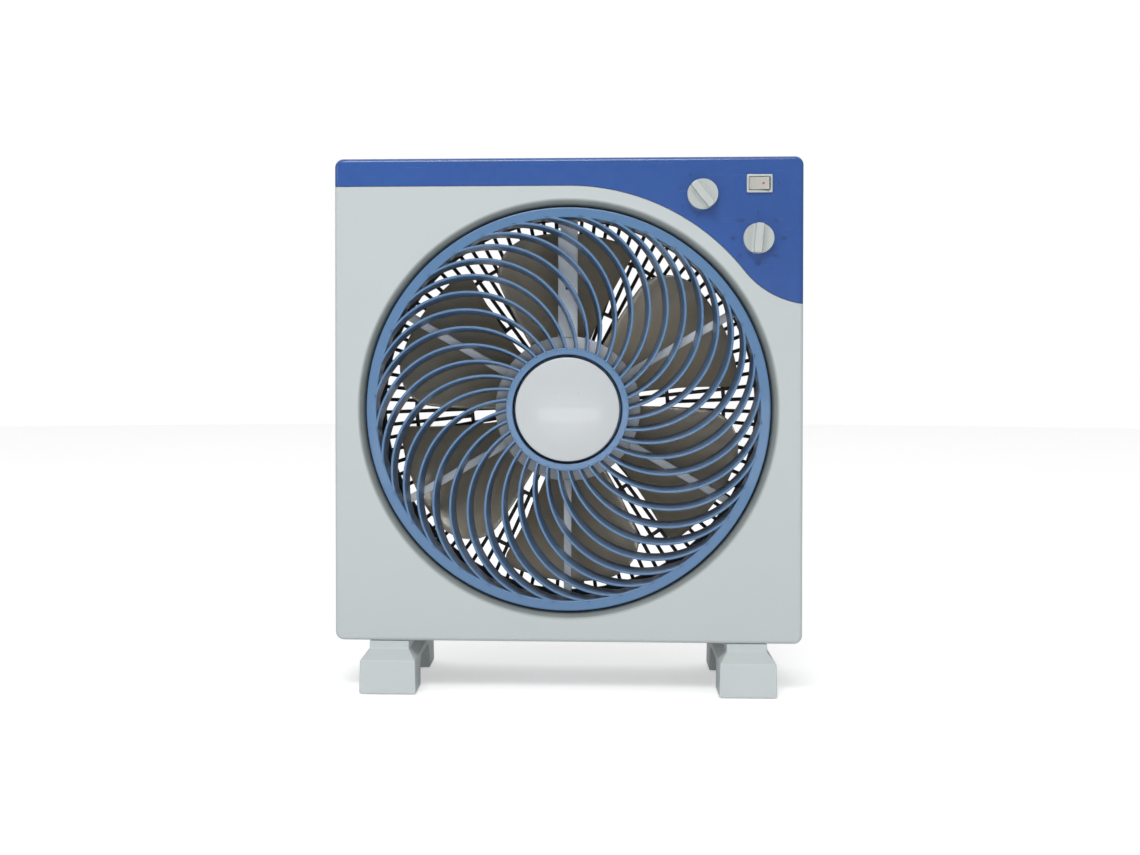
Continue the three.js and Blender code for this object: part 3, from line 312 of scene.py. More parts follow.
def metal_surface_group():
    """Machined or cast metal: ring marks about the fan axis, grain, and slight tarnish."""
    tree, given, out = shader_group(
        "Metal Surface",
        [
            ("Colour", COLOUR, (0.5, 0.5, 0.5, 1)),
            ("Tarnish Colour", COLOUR, (0.2, 0.17, 0.14, 1)),
            ("Tarnish", FLOAT, 0.3),
            ("Rings", FLOAT, 900.0),
            ("Roughness", FLOAT, 0.35),
        ],
        [("Colour", COLOUR), ("Roughness", FLOAT), ("Height", FLOAT)],
    )
    coords = add_node(tree, "ShaderNodeTexCoord").outputs["Object"]
    centred = add_node(tree, "ShaderNodeMapping", {"Vector": coords, "Location": tuple(-AXIS)}).outputs[0]
    axes = add_node(tree, "ShaderNodeSeparateXYZ", {0: centred})
    flat = add_node(tree, "ShaderNodeCombineXYZ", {"X": axes.outputs["X"], "Z": axes.outputs["Z"]}).outputs[0]
    radius = add_node(tree, "ShaderNodeVectorMath", {0: flat}, operation="LENGTH").outputs["Value"]
    along = math_node(
        tree, "ADD", math_node(tree, "MULTIPLY", radius, given.outputs["Rings"]), axes.outputs["Y"]
    )
    turned = add_node(
        tree, "ShaderNodeTexNoise", {"W": along, "Scale": 1.0, "Detail": 2.0}, noise_dimensions="1D"
    )
    blot = add_node(
        tree, "ShaderNodeTexNoise", {"Vector": coords, "Scale": 70.0, "Detail": 5.0}
    ).outputs["Fac"]
    spots = add_node(
        tree, "ShaderNodeMapRange", {"Value": blot, "From Min": 0.45, "From Max": 0.75}
    ).outputs[0]
    amount = math_node(tree, "MULTIPLY", spots, given.outputs["Tarnish"])
    mixed = add_node(
        tree,
        "ShaderNodeMix",
        {"Factor": amount, 6: given.outputs["Colour"], 7: given.outputs["Tarnish Colour"]},
        data_type="RGBA",
    ).outputs[2]
    rough = math_node(tree, "ADD", given.outputs["Roughness"], math_node(tree, "MULTIPLY", amount, 0.5))
    tree.links.new(mixed, out.inputs["Colour"])
    tree.links.new(rough, out.inputs["Roughness"])
    tree.links.new(turned.outputs["Fac"], out.inputs["Height"])
    return tree


# ---------------------------------------------------------------------------
# Materials
# ---------------------------------------------------------------------------


def group_node(tree, group, inputs):
    made = tree.nodes.new("ShaderNodeGroup")
    made.node_tree = bpy.data.node_groups[group]
    for label, value in inputs.items():
        made.inputs[label].default_value = value
    return made


def plastic(name, tint, roughness, edge_wear_and_shade, grain=(1400.0, 0.02), drift=0.06, dust=0.2, scratches=0.2, **shader):
    """A moulded plastic. edge_wear_and_shade is the colour of its rounded edges: paler rubbed wear on most
    plastics, painted shade on the panel. grain is its scale and depth in millimetres.
    """
    material = bpy.data.materials.new(name)
    material.use_nodes = True
    tree = material.node_tree
    principled = tree.nodes["Principled BSDF"]
    surface = group_node(
        tree,
        "Moulded Surface",
        {
            "Colour": (*tint, 1),
            "Drift": drift,
            "Grain Scale": grain[0],
            "Roughness": roughness,
            "Dust": dust,
            "Scratches": scratches,
        },
    )
    wear_and_shade_mask = group_node(tree, "Edge Wear And Shade", {"Amount": 0.55})
    mix = add_node(
        tree,
        "ShaderNodeMix",
        {"Factor": wear_and_shade_mask.outputs["Mask"], 6: surface.outputs["Colour"], 7: (*edge_wear_and_shade, 1)},
        data_type="RGBA",
    )
    bump = add_node(
        tree, "ShaderNodeBump", {
            "Height": surface.outputs["Height"], "Distance": grain[1] * MM, "Strength": 1.0
        }
    )
    tree.links.new(mix.outputs[2], principled.inputs["Base Color"])
    tree.links.new(surface.outputs["Roughness"], principled.inputs["Roughness"])
    tree.links.new(bump.outputs[0], principled.inputs["Normal"])
    for label, value in shader.items():
        principled.inputs[label.replace("_", " ")].default_value = value
    material.diffuse_color = (*tint, 1)
    return material


def metal(name, tint, roughness, tarnish, rings=900.0, depth=0.01, metallic=1.0):
    """A bare or plated metal with ring marks about the fan axis."""
    material = bpy.data.materials.new(name)
    material.use_nodes = True
    tree = material.node_tree
    principled = tree.nodes["Principled BSDF"]
    surface = group_node(
        tree,
        "Metal Surface",
        {"Colour": (*tint, 1), "Tarnish": tarnish, "Rings": rings, "Roughness": roughness},
    )
    bump = add_node(tree, "ShaderNodeBump", {"Height": surface.outputs["Height"], "Distance": depth * MM})
    tree.links.new(surface.outputs["Colour"], principled.inputs["Base Color"])
    tree.links.new(surface.outputs["Roughness"], principled.inputs["Roughness"])
    tree.links.new(bump.outputs[0], principled.inputs["Normal"])
    principled.inputs["Metallic"].default_value = metallic
    material.diffuse_color = (*tint, 1)
    return material


def painted_opening_shade(material, shade=(0.17, 0.19, 0.185), reach=2.5 * MM):
    """Paints shade into the rounded edge of the front opening, darker towards the duct and broken up by noise."""
    tree = material.node_tree
    tint = tree.nodes["Principled BSDF"].inputs["Base Color"]
    unshaded_colour = tint.links[0].from_socket
    place = add_node(tree, "ShaderNodeTexCoord").outputs["Object"]
    flat = add_node(tree, "ShaderNodeVectorMath", {0: place, 1: tuple(AXIS)}, operation="SUBTRACT")
    flat = add_node(tree, "ShaderNodeVectorMath", {0: flat.outputs[0], 1: (1, 0, 1)}, operation="MULTIPLY")
    radius = add_node(tree, "ShaderNodeVectorMath", {0: flat.outputs[0]}, operation="LENGTH").outputs["Value"]
    edge = bpy.context.scene.fan_casing.recess
    mask = add_node(tree, "ShaderNodeMapRange", {"Value": radius, "From Min": edge, "From Max": edge - reach})
    patches = add_node(
        tree, "ShaderNodeTexNoise", {"Vector": place, "Scale": 45.0, "Detail": 3.0}
    ).outputs["Fac"]
    patchy = add_node(tree, "ShaderNodeMapRange", {"Value": patches, "To Min": 0.7, "To Max": 1.0}).outputs[0]
    amount = math_node(tree, "MULTIPLY", mask.outputs[0], patchy)
    mixed = add_node(tree, "ShaderNodeMix", {"Factor": amount, 6: unshaded_colour, 7: (*shade, 1)}, data_type="RGBA")
    tree.links.new(mixed.outputs[2], tint)
    return material


def paler(tint, amount=0.35):
    return tuple(part + (1 - part) * amount for part in tint)


def make_materials(tints):
    """Every finish of the fan, by the name of its slot in the record."""
    return {
        "casing_white": plastic("casing_white", tints.casing, 0.38, paler(tints.casing, 0.2), dust=0.25),
        # The front shell's material: casing white with painted shade in the rounded edge of its opening.
        "opening_white": painted_opening_shade(
            plastic("opening_white", tints.casing, 0.38, paler(tints.casing, 0.2), dust=0.25)
        ),
        "feet_white": plastic("feet_white", tints.feet, 0.42, paler(tints.feet, 0.2), dust=0.3),
        "bracket_grey": plastic("bracket_grey", tints.bracket, 0.42, paler(tints.bracket, 0.2), dust=0.5),
        "cap_white": plastic("cap_white", tints.cap, 0.3, paler(tints.cap, 0.2), dust=0.15, Coat_Weight=0.15),
        # The panel's rounded edges take a darker navy than its face: painted shade along those edges.
        "panel_blue": plastic(
            "panel_blue", tints.panel, 0.22, (0.013, 0.04, 0.14), grain=(500.0, 0.012), drift=0.45,
            dust=0.25, scratches=0.3, Coat_Weight=0.2,
        ),
        "louvre_blue": plastic(
            "louvre_blue", tints.louvre, 0.32, paler(tints.louvre, 0.3), drift=0.1, dust=0.35, Coat_Weight=0.1
        ),
        "blade_smoke": plastic(
            "blade_smoke", tints.smoke, 0.16, paler(tints.smoke, 0.2), grain=(300.0, 0.01), drift=0.2,
            dust=0.4, Alpha=0.95,
        ),
        "grille_black": plastic("grille_black", tints.black, 0.4, paler(tints.black, 0.12), dust=0.3),
        "knob_white": plastic(
            "knob_white", tints.knob, 0.3, paler(tints.knob, 0.3), dust=0.12, Coat_Weight=0.2
        ),
        "paddle_cream": plastic("paddle_cream", (0.44, 0.435, 0.40), 0.3, (0.65, 0.64, 0.6), dust=0.15),
        "signal_red": plastic("signal_red", (0.42, 0.045, 0.03), 0.35, (0.6, 0.2, 0.15), dust=0.1),
        "dial_ink": plastic("dial_ink", tints.ink, 0.45, tints.ink, drift=0.3, dust=0.0, scratches=0.0),
        "foot_rubber": plastic(
            "foot_rubber", (0.018, 0.019, 0.02), 0.8, (0.06, 0.06, 0.06), grain=(700.0, 0.08), dust=0.6
        ),
        "switch_grey": plastic("switch_grey", (0.04, 0.045, 0.05), 0.5, (0.12, 0.12, 0.12), dust=0.3),
        "lead_black": plastic("lead_black", (0.02, 0.02, 0.022), 0.55, (0.07, 0.07, 0.07), dust=0.4),
        "steel": metal("steel", (0.58, 0.59, 0.60), 0.25, 0.15),
        "zinc": metal("zinc", (0.52, 0.54, 0.55), 0.38, 0.25, rings=300.0, depth=0.015),
        "motor_metal": metal("motor_metal", (0.38, 0.39, 0.40), 0.5, 0.35, rings=400.0, depth=0.03),
        "lamination": metal("lamination", (0.16, 0.165, 0.17), 0.5, 0.5, rings=2600.0, depth=0.05),
        "copper": metal("copper", (0.50, 0.17, 0.06), 0.35, 0.3, rings=1500.0, depth=0.2),
        "bronze": metal("bronze", (0.40, 0.26, 0.10), 0.45, 0.4),
    }


# ---------------------------------------------------------------------------
# Mesh helpers. Points are (x, y, z) from the fan axis, in metres.
# ---------------------------------------------------------------------------


def add_object(name, mesh):
    made = bpy.data.objects.new(name, mesh)
    bpy.context.scene.collection.objects.link(made)
    return made


def finish_mesh(name, built, sharp_angle=35.0):
    """Turns a bmesh into an object at the origin, faces outwards, smooth except over sharp edges."""
    bmesh.ops.remove_doubles(built, verts=built.verts, dist=1e-7)
    bmesh.ops.recalc_face_normals(built, faces=built.faces)
    limit = math.radians(sharp_angle)
    for face in built.faces:
        face.smooth = True
    for edge in built.edges:
        edge.smooth = edge.calc_face_angle(0.0) < limit
    mesh = bpy.data.meshes.new(name)
    built.to_mesh(mesh)
    built.free()
    return add_object(name, mesh)


def loft(name, rings, closed=False, offset=AXIS, sharp_angle=35.0):
    """Skins rings of points. The ends are capped, or joined to each other when closed."""
    built = bmesh.new()
    loops = [[built.verts.new(Vector(point) + offset) for point in ring] for ring in rings]
    pairs = list(zip(loops, loops[1:])) + ([(loops[-1], loops[0])] if closed else [])
    for first, second in pairs:
        count = len(first)
        for i in range(count):
            j = (i + 1) % count
            built.faces.new((first[i], first[j], second[j], second[i]))
    if not closed:
        built.faces.new(loops[0])
        built.faces.new(loops[-1])
    return finish_mesh(name, built, sharp_angle)


def softened(profile, radius, steps=3, closed=True):
    """Rounds the corners of a polyline with arcs, each limited by its neighbouring edges."""
    points = [Vector(p) for p in profile]
    count = len(points)
    result = []
    for i, corner in enumerate(points):
        if not closed and i in (0, count - 1):
            result.append(corner)
            continue
        before, after = points[i - 1], points[(i + 1) % count]
        into, out = corner - before, after - corner
        turn = into.angle(out, 0.0)
        if turn < math.radians(8) or min(into.length, out.length) < 1e-7:
            result.append(corner)
            continue
        reach = min(radius * math.tan(turn / 2), 0.45 * into.length, 0.45 * out.length)
        start = corner - into.normalized() * reach
        end = corner + out.normalized() * reach
        for k in range(steps + 1):
            share = k / steps
            result.append(start.lerp(corner, share).lerp(corner.lerp(end, share), share))
    return result


def revolve(name, profile, turns=96, radius=0.6, steps=3, centre=(0, 0), sharp_angle=40.0):
    """A solid of revolution about a line along Y, from (radius, y) points in millimetres."""
    on_axis = profile[0][0] == 0
    points = softened([Vector((r, y)) * MM for r, y in profile], radius * MM, steps, closed=not on_axis)
    built = bmesh.new()
    offset = AXIS + Vector((centre[0], 0, centre[1]))
    loops = []
    for r, y in points:
        if r < 1e-7:
            loops.append([built.verts.new(offset + Vector((0, y, 0)))] * turns)
            continue
        angles = [2 * math.pi * i / turns for i in range(turns)]
        loops.append(
            [built.verts.new(offset + Vector((r * math.cos(a), y, r * math.sin(a)))) for a in angles]
        )
    pairs = list(zip(loops, loops[1:])) + ([] if on_axis else [(loops[-1], loops[0])])
    for first, second in pairs:
        for i in range(turns):
            j = (i + 1) % turns
            corners = dict.fromkeys((first[i], first[j], second[j], second[i]))
            if len(corners) > 2:
                built.faces.new(tuple(corners))
    return finish_mesh(name, built, sharp_angle)


def applied(target):
    """Makes the object's modifiers part of its mesh."""
    graph = bpy.context.evaluated_depsgraph_get()
    mesh = bpy.data.meshes.new_from_object(target.evaluated_get(graph))
    target.modifiers.clear()
    target.data = mesh
    return target


def boolean(target, operation, *tools):
    """Cuts, joins or crosses the target with each tool, and removes the tools."""
    for tool in tools:
        modifier = target.modifiers.new("Boolean", "BOOLEAN")
        modifier.operation = operation
        modifier.solver = "EXACT"
        modifier.object = tool
    bpy.context.view_layer.update()
    applied(target)
    for tool in tools:
        bpy.data.objects.remove(tool)
    return target


def bevelled(target, width, segments=3, angle=30.0):
    """Rounds the sharp edges and keeps the flat faces flat in the shading."""
    for polygon in target.data.polygons:
        polygon.use_smooth = True
    modifier = target.modifiers.new("Bevel", "BEVEL")
    modifier.width = width * MM
    modifier.segments = segments
    modifier.limit_method = "ANGLE"
    modifier.angle_limit = math.radians(angle)
    modifier.harden_normals = False
    modifier.miter_outer = "MITER_ARC"
    weighted = target.modifiers.new("Weighted", "WEIGHTED_NORMAL")
    weighted.keep_sharp = True
    bpy.context.view_layer.update()
    return applied(target)


def keep_flats(target):
    """Weights the shading towards the large faces, and cuts it off round every flat one."""
    mesh = target.data
    edge_of = {tuple(sorted(edge.vertices)): edge for edge in mesh.edges}
    for polygon in mesh.polygons:
        if max(abs(part) for part in polygon.normal) > 0.99999 and polygon.area > FLAT_AREA:
            for key in polygon.edge_keys:
                edge_of[tuple(sorted(key))].use_edge_sharp = True
    weighted = target.modifiers.new("Weighted", "WEIGHTED_NORMAL")
    weighted.keep_sharp = True
    bpy.context.view_layer.update()
    return applied(target)


def merged_copy(name, *nodes):
    """A joined copy of CAD nodes with its triangles merged back into flat faces."""
    built = bmesh.new()
    for node in nodes:
        built.from_mesh(frame["nodes"][node].data)
    bmesh.ops.remove_doubles(built, verts=built.verts, dist=2e-6)
    bmesh.ops.dissolve_limit(
        built, angle_limit=math.radians(1), verts=built.verts, edges=built.edges, delimit={"NORMAL"}
    )
    mesh = bpy.data.meshes.new(name)
    built.to_mesh(mesh)
    built.free()
    return add_object(name, mesh)


def cylinder(name, radius, start, end, centre, turns=64):
    """A plain round cutter along Y. Sizes are in millimetres, the centre in metres."""
    profile = [(0, start), (radius, start), (radius, end), (0, end)]
    return revolve(name, profile, turns, radius=0.0, steps=1, centre=centre)


def coat(piece, materials, slot, body, *nodes, look=None):
    """Gives a piece the material of its look, or else of its slot, puts it in its body and hides the CAD nodes
    that it stands for.
    """
    piece.data.materials.clear()
    piece.data.materials.append(materials[look or slot])
    for polygon in piece.data.polygons:
        polygon.material_index = 0
    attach(piece, body)
    if nodes:
        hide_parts(*nodes)
    return piece


# ---------------------------------------------------------------------------
# Geometry node trees
# ---------------------------------------------------------------------------

INTEGER, ANGLE_IN, GEOMETRY, MATERIAL = (
    "NodeSocketInt",
    "NodeSocketFloat",
    "NodeSocketGeometry",
    "NodeSocketMaterial",
)


def geometry_tree(name, inputs):
    """An empty geometry tree with named inputs. Returns the tree, its input node and its output node."""
    tree = bpy.data.node_groups.new(name, "GeometryNodeTree")
    tree.is_modifier = True
    tree.interface.new_socket("Geometry", in_out="INPUT", socket_type=GEOMETRY)
    for label, kind in inputs:
        tree.interface.new_socket(label, in_out="INPUT", socket_type=kind)
    tree.interface.new_socket("Geometry", in_out="OUTPUT", socket_type=GEOMETRY)
    return tree, tree.nodes.new("NodeGroupInput"), tree.nodes.new("NodeGroupOutput")


def close_tree(tree, given, out, geometry):
    """Ends a tree in Realize Instances, smooth shading by angle and Set Material."""
    real = add_node(tree, "GeometryNodeRealizeInstances", {"Geometry": geometry}).outputs[0]
    merged = add_node(tree, "GeometryNodeMergeByDistance", {"Geometry": real, "Distance": 1e-6}).outputs[0]
    angle = add_node(tree, "GeometryNodeInputMeshEdgeAngle").outputs["Unsigned Angle"]
    gentle = add_node(
        tree, "FunctionNodeCompare", {0: angle, 1: math.radians(40)}, operation="LESS_THAN"
    ).outputs[0]
    faces = add_node(tree, "GeometryNodeSetShadeSmooth", {"Geometry": merged}, domain="FACE").outputs[0]
    edges = add_node(
        tree, "GeometryNodeSetShadeSmooth", {"Geometry": faces, "Shade Smooth": gentle}, domain="EDGE"
    ).outputs[0]
    painted = add_node(
        tree, "GeometryNodeSetMaterial", {"Geometry": edges, "Material": given.outputs["Material"]}
    )
    tree.links.new(painted.outputs[0], out.inputs["Geometry"])


def run_tree(name, tree, values, start=None):
    """Runs a geometry tree once and keeps its result as a plain mesh object."""
    carrier = start or add_object(name, bpy.data.meshes.new(name))
    carrier.name = name
    modifier = carrier.modifiers.new("Nodes", "NODES")
    modifier.node_group = tree
    sockets = {item.name: item.identifier for item in tree.interface.items_tree if item.in_out == "INPUT"}
    for label, value in values.items():
        modifier[sockets[label]] = value
    bpy.context.view_layer.update()
    return applied(carrier)


def copies_about_axis(tree, given, geometry):
    """Copies of a geometry turned evenly about the fan axis, from the Count and First inputs."""
    points = add_node(
        tree, "GeometryNodePoints", {"Count": given.outputs["Count"], "Position": tuple(AXIS)}
    ).outputs[0]
    index = add_node(tree, "GeometryNodeInputIndex").outputs[0]
    pitch = math_node(tree, "DIVIDE", 2 * math.pi, given.outputs["Count"])
    turn = math_node(tree, "ADD", math_node(tree, "MULTIPLY", index, pitch), given.outputs["First"])
    spin = add_node(tree, "ShaderNodeCombineXYZ", {"Y": math_node(tree, "MULTIPLY", turn, -1.0)}).outputs[0]
    rotation = add_node(tree, "FunctionNodeEulerToRotation", {0: spin}).outputs[0]
    centred = add_node(
        tree, "GeometryNodeTransform", {"Geometry": geometry, "Translation": tuple(-AXIS)}
    ).outputs[0]
    return add_node(
        tree, "GeometryNodeInstanceOnPoints", {"Points": points, "Instance": centred, "Rotation": rotation}
    ).outputs[0]


def turned_copies_tree():
    """Turns copies of the object's own mesh about the fan axis."""
    tree, given, out = geometry_tree(
        "Turned Copies", [("Count", INTEGER), ("First", ANGLE_IN), ("Material", MATERIAL)]
    )
    close_tree(tree, given, out, copies_about_axis(tree, given, given.outputs["Geometry"]))
    return tree


def placed_copies_tree():
    """Puts a copy of a fastener, drawn at the origin, on every vertex of the object's own mesh."""
    tree, given, out = geometry_tree(
        "Placed Copies", [("Fastener", "NodeSocketObject"), ("Material", MATERIAL)]
    )
    fastener = add_node(
        tree, "GeometryNodeObjectInfo", {"Object": given.outputs["Fastener"]}
    ).outputs["Geometry"]
    index = add_node(tree, "GeometryNodeInputIndex").outputs[0]
    turn = add_node(tree, "ShaderNodeCombineXYZ", {"Y": math_node(tree, "MULTIPLY", index, 0.55)}).outputs[0]
    rotation = add_node(tree, "FunctionNodeEulerToRotation", {0: turn}).outputs[0]
    points = add_node(tree, "GeometryNodeMeshToPoints", {"Mesh": given.outputs["Geometry"]}).outputs[0]
    copies = add_node(
        tree, "GeometryNodeInstanceOnPoints", {"Points": points, "Instance": fastener, "Rotation": rotation}
    ).outputs[0]
    close_tree(tree, given, out, copies)
    return tree


def rounded_section(tree, width, height, radius):
    """A rectangle curve with rounded corners, for sweeping along a path."""
    rectangle = add_node(tree, "GeometryNodeCurvePrimitiveQuadrilateral", {"Width": width, "Height": height})
    return add_node(
        tree,
        "GeometryNodeFilletCurve",
        {"Curve": rectangle.outputs[0], "Radius": radius, "Count": 3},
        mode="POLY",
    ).outputs[0]


def swept(tree, path, section, caps=True):
    """Sweeps a section along a path that lies in the drawing plane."""
    upright = add_node(tree, "GeometryNodeSetCurveNormal", {"Curve": path}, mode="Z_UP").outputs[0]
    return add_node(
        tree, "GeometryNodeCurveToMesh", {"Curve": upright, "Profile Curve": section, "Fill Caps": caps}
    ).outputs[0]


def stood_up(tree, geometry, depth):
    """Stands a drawing made in x and y up into x and z, at a depth from the fan axis."""
    place = add_node(tree, "ShaderNodeCombineXYZ", {"X": AXIS.x, "Y": depth, "Z": AXIS.z}).outputs[0]
    return add_node(
        tree,
        "GeometryNodeTransform",
        {"Geometry": geometry, "Translation": place, "Rotation": (math.pi / 2, 0, 0)},
    ).outputs[0]


def grille_ring(tree, radius, width, height, depth, resolution=180):
    """A round-edged ring about the fan axis."""
    circle = add_node(tree, "GeometryNodeCurvePrimitiveCircle", {"Resolution": resolution, "Radius": radius})
    section = rounded_section(tree, width, height, math_node(tree, "MULTIPLY", width, 0.3))
    return stood_up(tree, swept(tree, circle.outputs[0], section, caps=False), depth)


def louvre_tree():
    """Curved vanes between the louvre's hub and its outer ring."""
    tree, given, out = geometry_tree(
        "Louvre Vanes",
        [
            ("Count", INTEGER),
            ("First", ANGLE_IN),
            ("Arc Radius", FLOAT),
            ("Arc Centre X", FLOAT),
            ("Arc Centre Z", FLOAT),
            ("Start", FLOAT),
            ("Turn", FLOAT),
            ("Thickness", FLOAT),
            ("Depth", FLOAT),
            ("Middle", FLOAT),
            ("Slant", FLOAT),
            ("Material", MATERIAL),
        ],
    )
    arc = add_node(
        tree,
        "GeometryNodeCurveArc",
        {
            "Resolution": 40,
            "Radius": given.outputs["Arc Radius"],
            "Start Angle": given.outputs["Start"],
            "Sweep Angle": given.outputs["Turn"],
        },
    ).outputs["Curve"]
    centre = add_node(
        tree, "ShaderNodeCombineXYZ", {"X": given.outputs["Arc Centre X"], "Y": given.outputs["Arc Centre Z"]}
    ).outputs[0]
    moved = add_node(tree, "GeometryNodeTransform", {"Geometry": arc, "Translation": centre}).outputs[0]
    section = rounded_section(
        tree,
        given.outputs["Thickness"],
        given.outputs["Depth"],
        math_node(tree, "MULTIPLY", given.outputs["Thickness"], 0.3),
    )
    vane = stood_up(tree, swept(tree, moved, section), given.outputs["Middle"])
    position = add_node(tree, "GeometryNodeInputPosition").outputs[0]
    depth_here = add_node(tree, "ShaderNodeSeparateXYZ", {0: position}).outputs["Y"]
    past = math_node(tree, "SUBTRACT", depth_here, given.outputs["Middle"])
    share = math_node(tree, "ADD", math_node(tree, "DIVIDE", past, given.outputs["Depth"]), 0.5)
    angle = math_node(tree, "MULTIPLY", math_node(tree, "MULTIPLY", share, given.outputs["Slant"]), -1.0)
    slanted = add_node(
        tree,
        "ShaderNodeVectorRotate",
        {"Vector": position, "Center": tuple(AXIS), "Angle": angle},
        rotation_type="Y_AXIS",
    ).outputs[0]
    twisted = add_node(tree, "GeometryNodeSetPosition", {"Geometry": vane, "Position": slanted}).outputs[0]
    close_tree(tree, given, out, copies_about_axis(tree, given, twisted))
    return tree


def guard_tree():
    """Round rear grille: long and short bars, and rings that tie them."""
    tree, given, out = geometry_tree(
        "Guard Bars",
        [
            ("Count", INTEGER),
            ("First", ANGLE_IN),
            ("Inner", FLOAT),
            ("Outer", FLOAT),
            ("Width", FLOAT),
            ("Depth", FLOAT),
            ("Middle", FLOAT),
            ("Material", MATERIAL),
        ],
    )
    start = add_node(tree, "ShaderNodeCombineXYZ", {"X": given.outputs["Inner"]}).outputs[0]
    end = add_node(tree, "ShaderNodeCombineXYZ", {"X": given.outputs["Outer"]}).outputs[0]
    line = add_node(tree, "GeometryNodeCurvePrimitiveLine", {"Start": start, "End": end}).outputs[0]
    radius = math_node(tree, "MULTIPLY", given.outputs["Width"], 0.38)
    section = rounded_section(tree, given.outputs["Width"], given.outputs["Depth"], radius)
    bar = stood_up(tree, swept(tree, line, section), given.outputs["Middle"])
    close_tree(tree, given, out, copies_about_axis(tree, given, bar))
    return tree


def ring_tree():
    """One round-edged ring about the fan axis."""
    tree, given, out = geometry_tree(
        "Guard Ring",
        [("Radius", FLOAT), ("Width", FLOAT), ("Depth", FLOAT), ("Middle", FLOAT), ("Material", MATERIAL)],
    )
    inputs = [given.outputs[label] for label in ("Radius", "Width", "Depth", "Middle")]
    close_tree(tree, given, out, grille_ring(tree, *inputs))
    return tree


def joined(name, *parts):
    """One object that holds the meshes of several."""
    built = bmesh.new()
    for part in parts:
        built.from_mesh(part.data)
    mesh = bpy.data.meshes.new(name)
    built.to_mesh(mesh)
    built.free()
    for part in parts:
        bpy.data.objects.remove(part)
    return add_object(name, mesh)


# ---------------------------------------------------------------------------
# Casing
# ---------------------------------------------------------------------------


def outline_radius(angle, inset, corner):
    """Distance from the fan axis to the casing's outline, made smaller by inset, along one ray."""
    across, up = abs(math.cos(angle)), abs(math.sin(angle))
    half = SIDE - inset
    height = (TOP if math.sin(angle) > 0 else -BOTTOM) - inset
    round_corner = max(corner - inset, 1.2 * MM)
    reach = min(half / max(across, 1e-9), height / max(up, 1e-9))
    corner_x, corner_z = half - round_corner, height - round_corner
    if reach * across > corner_x and reach * up > corner_z:
        along = across * corner_x + up * corner_z
        rest = corner_x**2 + corner_z**2 - round_corner**2
        reach = along + math.sqrt(max(along**2 - rest, 0.0))
    return reach


def outline_angles(turns, corner):
    """Even rays from the fan axis, with more of them through the four round corners."""
    angles = {round(2 * math.pi * i / turns, 6) for i in range(turns)}
    for side in (SIDE, -SIDE):
        for height in (TOP, BOTTOM):
            centre_x = side - math.copysign(corner, side)
            centre_z = height - math.copysign(corner, height)
            for step in range(9):
                bend = math.pi / 2 * step / 8
                x = centre_x + math.copysign(corner * math.cos(bend), side)
                z = centre_z + math.copysign(corner * math.sin(bend), height)
                angles.add(round(math.atan2(z, x) % (2 * math.pi), 6))
    return sorted(angles)


def casing_rings(steps, settings):
    """Rings for a loft. A step is (kind, size, y): a circle's radius or the outline's inset."""
    angles = outline_angles(settings.turns, settings.corner)
    rings = []
    for kind, size, y in steps:
        ring = []
        for angle in angles:
            reach = size if kind == "circle" else outline_radius(angle, size, settings.corner)
            ring.append((reach * math.cos(angle), y, reach * math.sin(angle)))
        rings.append(ring)
    return rings


def edge_steps(face, inward, edge, inset=0.0, steps=7):
    """The rounded edge of the casing, from its side wall to its front or back face."""
    result = []
    for i in range(steps + 1):
        bend = math.pi / 2 * i / steps
        result.append(
            ("outline", inset + edge * (1 - math.cos(bend)), face + inward * edge * (1 - math.sin(bend)))
        )
    return result


def opening_steps(opening, width, depth, steps=10):
    """The rounded edge of the front opening, from the face in to the duct."""
    bends = [math.pi / 2 * i / steps for i in range(steps + 1)]
    return [
        ("circle", opening - width * math.sin(bend), FRONT + depth * (1 - math.cos(bend))) for bend in bends
    ]


def panel_outline(grow, settings, steps=48):
    """The control panel's face seen from the front, as (x, z) points, made larger by grow."""
    arc = PANEL_ARC - grow
    low = PANEL_LOW.z - grow
    bend = settings.panel_sweep + grow
    centre_z = low + bend
    centre_x = math.sqrt((arc + bend) ** 2 - centre_z**2)
    turn = math.atan2(centre_z, centre_x)
    far_x = max(SIDE, centre_x) + 10 * MM
    points = [(-SIDE - 10 * MM, TOP + 10 * MM), (-SIDE - 10 * MM, arc)]
    for i in range(steps + 1):
        angle = math.pi / 2 + (turn - math.pi / 2) * i / steps
        points.append((arc * math.cos(angle), arc * math.sin(angle)))
    for i in range(1, steps + 1):
        angle = math.pi + turn + (math.pi / 2 - turn) * i / steps
        points.append((centre_x + bend * math.cos(angle), centre_z + bend * math.sin(angle)))
    return points + [(far_x, low), (far_x, TOP + 10 * MM)]


PANEL_STRIP = 22.8 * MM
PANEL_ARC = TOP - PANEL_STRIP


def panel_prism(name, levels, settings):
    """A loft of the panel's outline. A level is (y, grow)."""
    rings = [[(x, y, z) for x, z in panel_outline(grow, settings)] for y, grow in levels]
    return loft(name, rings)


